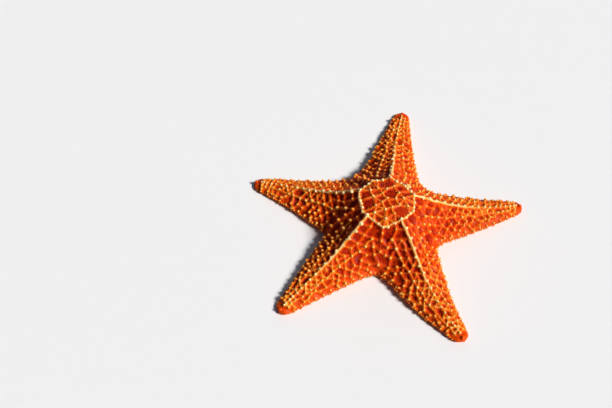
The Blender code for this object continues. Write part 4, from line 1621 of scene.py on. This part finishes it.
SKIN_BELLY, EYE_RED = (0.58, 0.19, 0.035, 1), (0.25, 0.004, 0.004, 1)
KNOB_TIP, SPINE_TIP = (0.98, 0.76, 0.34, 1), (0.92, 0.50, 0.12, 1)
dress(["skin"], finish_of("wet_skin", roughness=0.34, coat=0.0, bump=0.5, colours={"Belly": SKIN_BELLY}))
dress(["knobs", "margin_knobs"],
      finish_of("knob_finish", roughness=0.34, coat=0.0, bump=0.3, tip=KNOB_TIP, tip_amount=0.95))
dress(["ridge_beads"],
      finish_of("bead_finish", roughness=0.34, coat=0.0, bump=0.3, tip=KNOB_TIP, tip_amount=0.5))
dress(arm_names("granules"), finish_of("granule_finish", roughness=0.30, coat=0.20, bump=0.2, varied=True))
dress(["margin_spines"],
      finish_of("spine_finish", roughness=0.45, coat=0.0, bump=0.3, tip=SPINE_TIP, tip_amount=0.8))
dress(["sieve_detail"], finish_of("sieve_finish", roughness=0.5, coat=0.0, bump=0.4))
dress(arm_names("eye_plate"), finish_of("eye_plate_finish", roughness=0.35, coat=0.1, bump=0.3))
dress(["eyespots"], finish_of("eyespot_finish", roughness=0.15, coat=0.5, bump=0.0, colours={"Red": EYE_RED}))

# %% [markdown]
# The underside never sees the sun and is paler: amber paving, straw-coloured spines and pale tube feet.

# %% Dress the underside
PAVING_TIP, STRAW, FOOT_TIP = (0.93, 0.66, 0.34, 1), (0.88, 0.62, 0.32, 1), (0.90, 0.78, 0.55, 1)
dress(arm_names("paving"),
      finish_of("paving_finish", roughness=0.45, coat=0.0, bump=0.3, tip=PAVING_TIP, tip_amount=0.7))
dress(["furrow_spines", "groove_spines", "jaws", "teeth"],
      finish_of("pale_finish", roughness=0.5, coat=0.0, bump=0.3, tip=STRAW, tip_amount=0.7))
dress(["tube_feet"],
      finish_of("tube_foot_finish", roughness=0.3, coat=0.2, bump=0.2, tip=FOOT_TIP, tip_amount=0.9))
dress(["mouth_skin"], finish_of("mouth_finish", roughness=0.35, coat=0.1, bump=0.3))

# %% [markdown]
# The stage is a plain pale floor, wide enough that its edge lies outside the picture. It is one big plane,
# marked as stage so that it does not count as part of the animal. Its matt paint is nearly white, and it
# also lifts the shadows.

# %% Floor
bpy.ops.object.select_all(action="DESELECT")
bpy.ops.mesh.primitive_plane_add(size=40.0, location=(0, 0, 0))
floor = bpy.context.object
floor.name = "floor"
floor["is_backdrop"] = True
paper = bpy.data.materials.new("pale_floor")
paper.use_nodes = True
paper_shader = paper.node_tree.nodes["Principled BSDF"].inputs
paper_shader["Base Color"].default_value = (0.855, 0.846, 0.842, 1)
paper_shader["Roughness"].default_value = 0.9
floor.data.materials.append(paper)
print("floor", [round(side, 1) for side in floor.dimensions], "m")

# %% [markdown]
# One broad key light from the right models the ridges, and a weaker fill from behind keeps the far side
# readable. A sun lamp with a wide angle behaves like a large soft box: parallel light, but shadows with a
# soft edge. Both are the same kind of lamp, so one function makes them.

# %% Lamps


def soft_light(name, energy, spread, bearing, height, color):
    """A sun lamp at a bearing and a height in degrees; its spread, also in degrees, softens its shadows."""
    bearing, height = math.radians(bearing), math.radians(height)
    lamp = bpy.data.lights.new(name, "SUN")
    lamp.energy, lamp.angle, lamp.color = energy, math.radians(spread), color
    stand = bpy.data.objects.new(name, lamp)
    toward = Vector((math.cos(bearing) * math.cos(height), math.sin(bearing) * math.cos(height),
                     math.sin(height)))
    stand.rotation_euler = toward.to_track_quat("Z", "Y").to_euler()
    bpy.context.scene.collection.objects.link(stand)
    print(name, "light at", math.degrees(bearing), "degrees,", round(math.degrees(height)), "degrees high")


soft_light("key", energy=3.72, spread=14, bearing=-27, height=42, color=(1.0, 0.975, 0.945))
soft_light("fill", energy=0.32, spread=45, bearing=84, height=32, color=(0.72, 0.86, 1.0))

# %% [markdown]
# The sky fills the deepest shade with very little light. From a low camera it would show above the far edge
# of the floor, nearly black, so camera rays get a pale backdrop of their own, which lights nothing.

# %% Sky and backdrop
world = bpy.data.worlds.new("studio")
world.use_nodes = True
sky_board = Board(world.node_tree)
sky = world.node_tree.nodes["Background"]
sky_board.put(sky.inputs["Color"], (0.46, 0.70, 1.0, 1))
sky_board.put(sky.inputs["Strength"], 0.070)
backdrop = sky_board.node("ShaderNodeBackground", Color=(0.72, 0.71, 0.70, 1), Strength=1.0)
choice = sky_board.node("ShaderNodeMixShader")
seen = sky_board.node("ShaderNodeLightPath").outputs["Is Camera Ray"]
for number, value in enumerate((seen, sky.outputs["Background"], backdrop.outputs["Background"])):
    sky_board.put(choice.inputs[number], value)
sky_board.put(world.node_tree.nodes["World Output"].inputs["Surface"], choice.outputs["Shader"])
bpy.context.scene.world = world
print("sky nodes", len(world.node_tree.nodes))

# %% [markdown]
# The camera looks down at the animal as a person standing on the beach would. It starts out facing the
# middle of the disc, and is then moved to the left and a little up in its own plane, so that the animal
# sits off centre in the frame without any turn or lens shift.

# %% Camera
VIEW_HEIGHT = math.radians(52)
VIEW_DISTANCE, VIEW_LEFT, VIEW_UP = 5.87 * ARM_LENGTH, 0.534 * ARM_LENGTH, 0.1685 * ARM_LENGTH
lens = bpy.data.cameras.new("camera")
lens.lens = 50
lens.sensor_width = 36
lens.clip_end = 60
camera = bpy.data.objects.new("camera", lens)
forward = Vector((0, math.cos(VIEW_HEIGHT), -math.sin(VIEW_HEIGHT)))
above = Vector((0, math.sin(VIEW_HEIGHT), math.cos(VIEW_HEIGHT)))
aim = Vector((CENTRE[0], CENTRE[1], 0))
camera.location = aim - forward * VIEW_DISTANCE - Vector((1, 0, 0)) * VIEW_LEFT + above * VIEW_UP
camera.rotation_euler = (math.pi / 2 - VIEW_HEIGHT, 0, 0)
bpy.context.scene.collection.objects.link(camera)
bpy.context.scene.camera = camera
bpy.context.scene.view_settings.view_transform = "Standard"
bpy.context.scene.view_settings.look = "Medium High Contrast"
print("camera at", [round(value, 2) for value in camera.location], "m")

# %% [markdown]
# Last, the sizes. The dressed animal must stay inside the box of its solids, so both boxes are written down
# side by side.

# %% Sizes, and the end
VISUAL_BOX = [list(corner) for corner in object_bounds()]
for label, (low, high) in (("solids", CAD_BOX), ("visual", VISUAL_BOX)):
    print(label, [round((high[k] - low[k]) * 1000, 1) for k in range(3)], "mm")
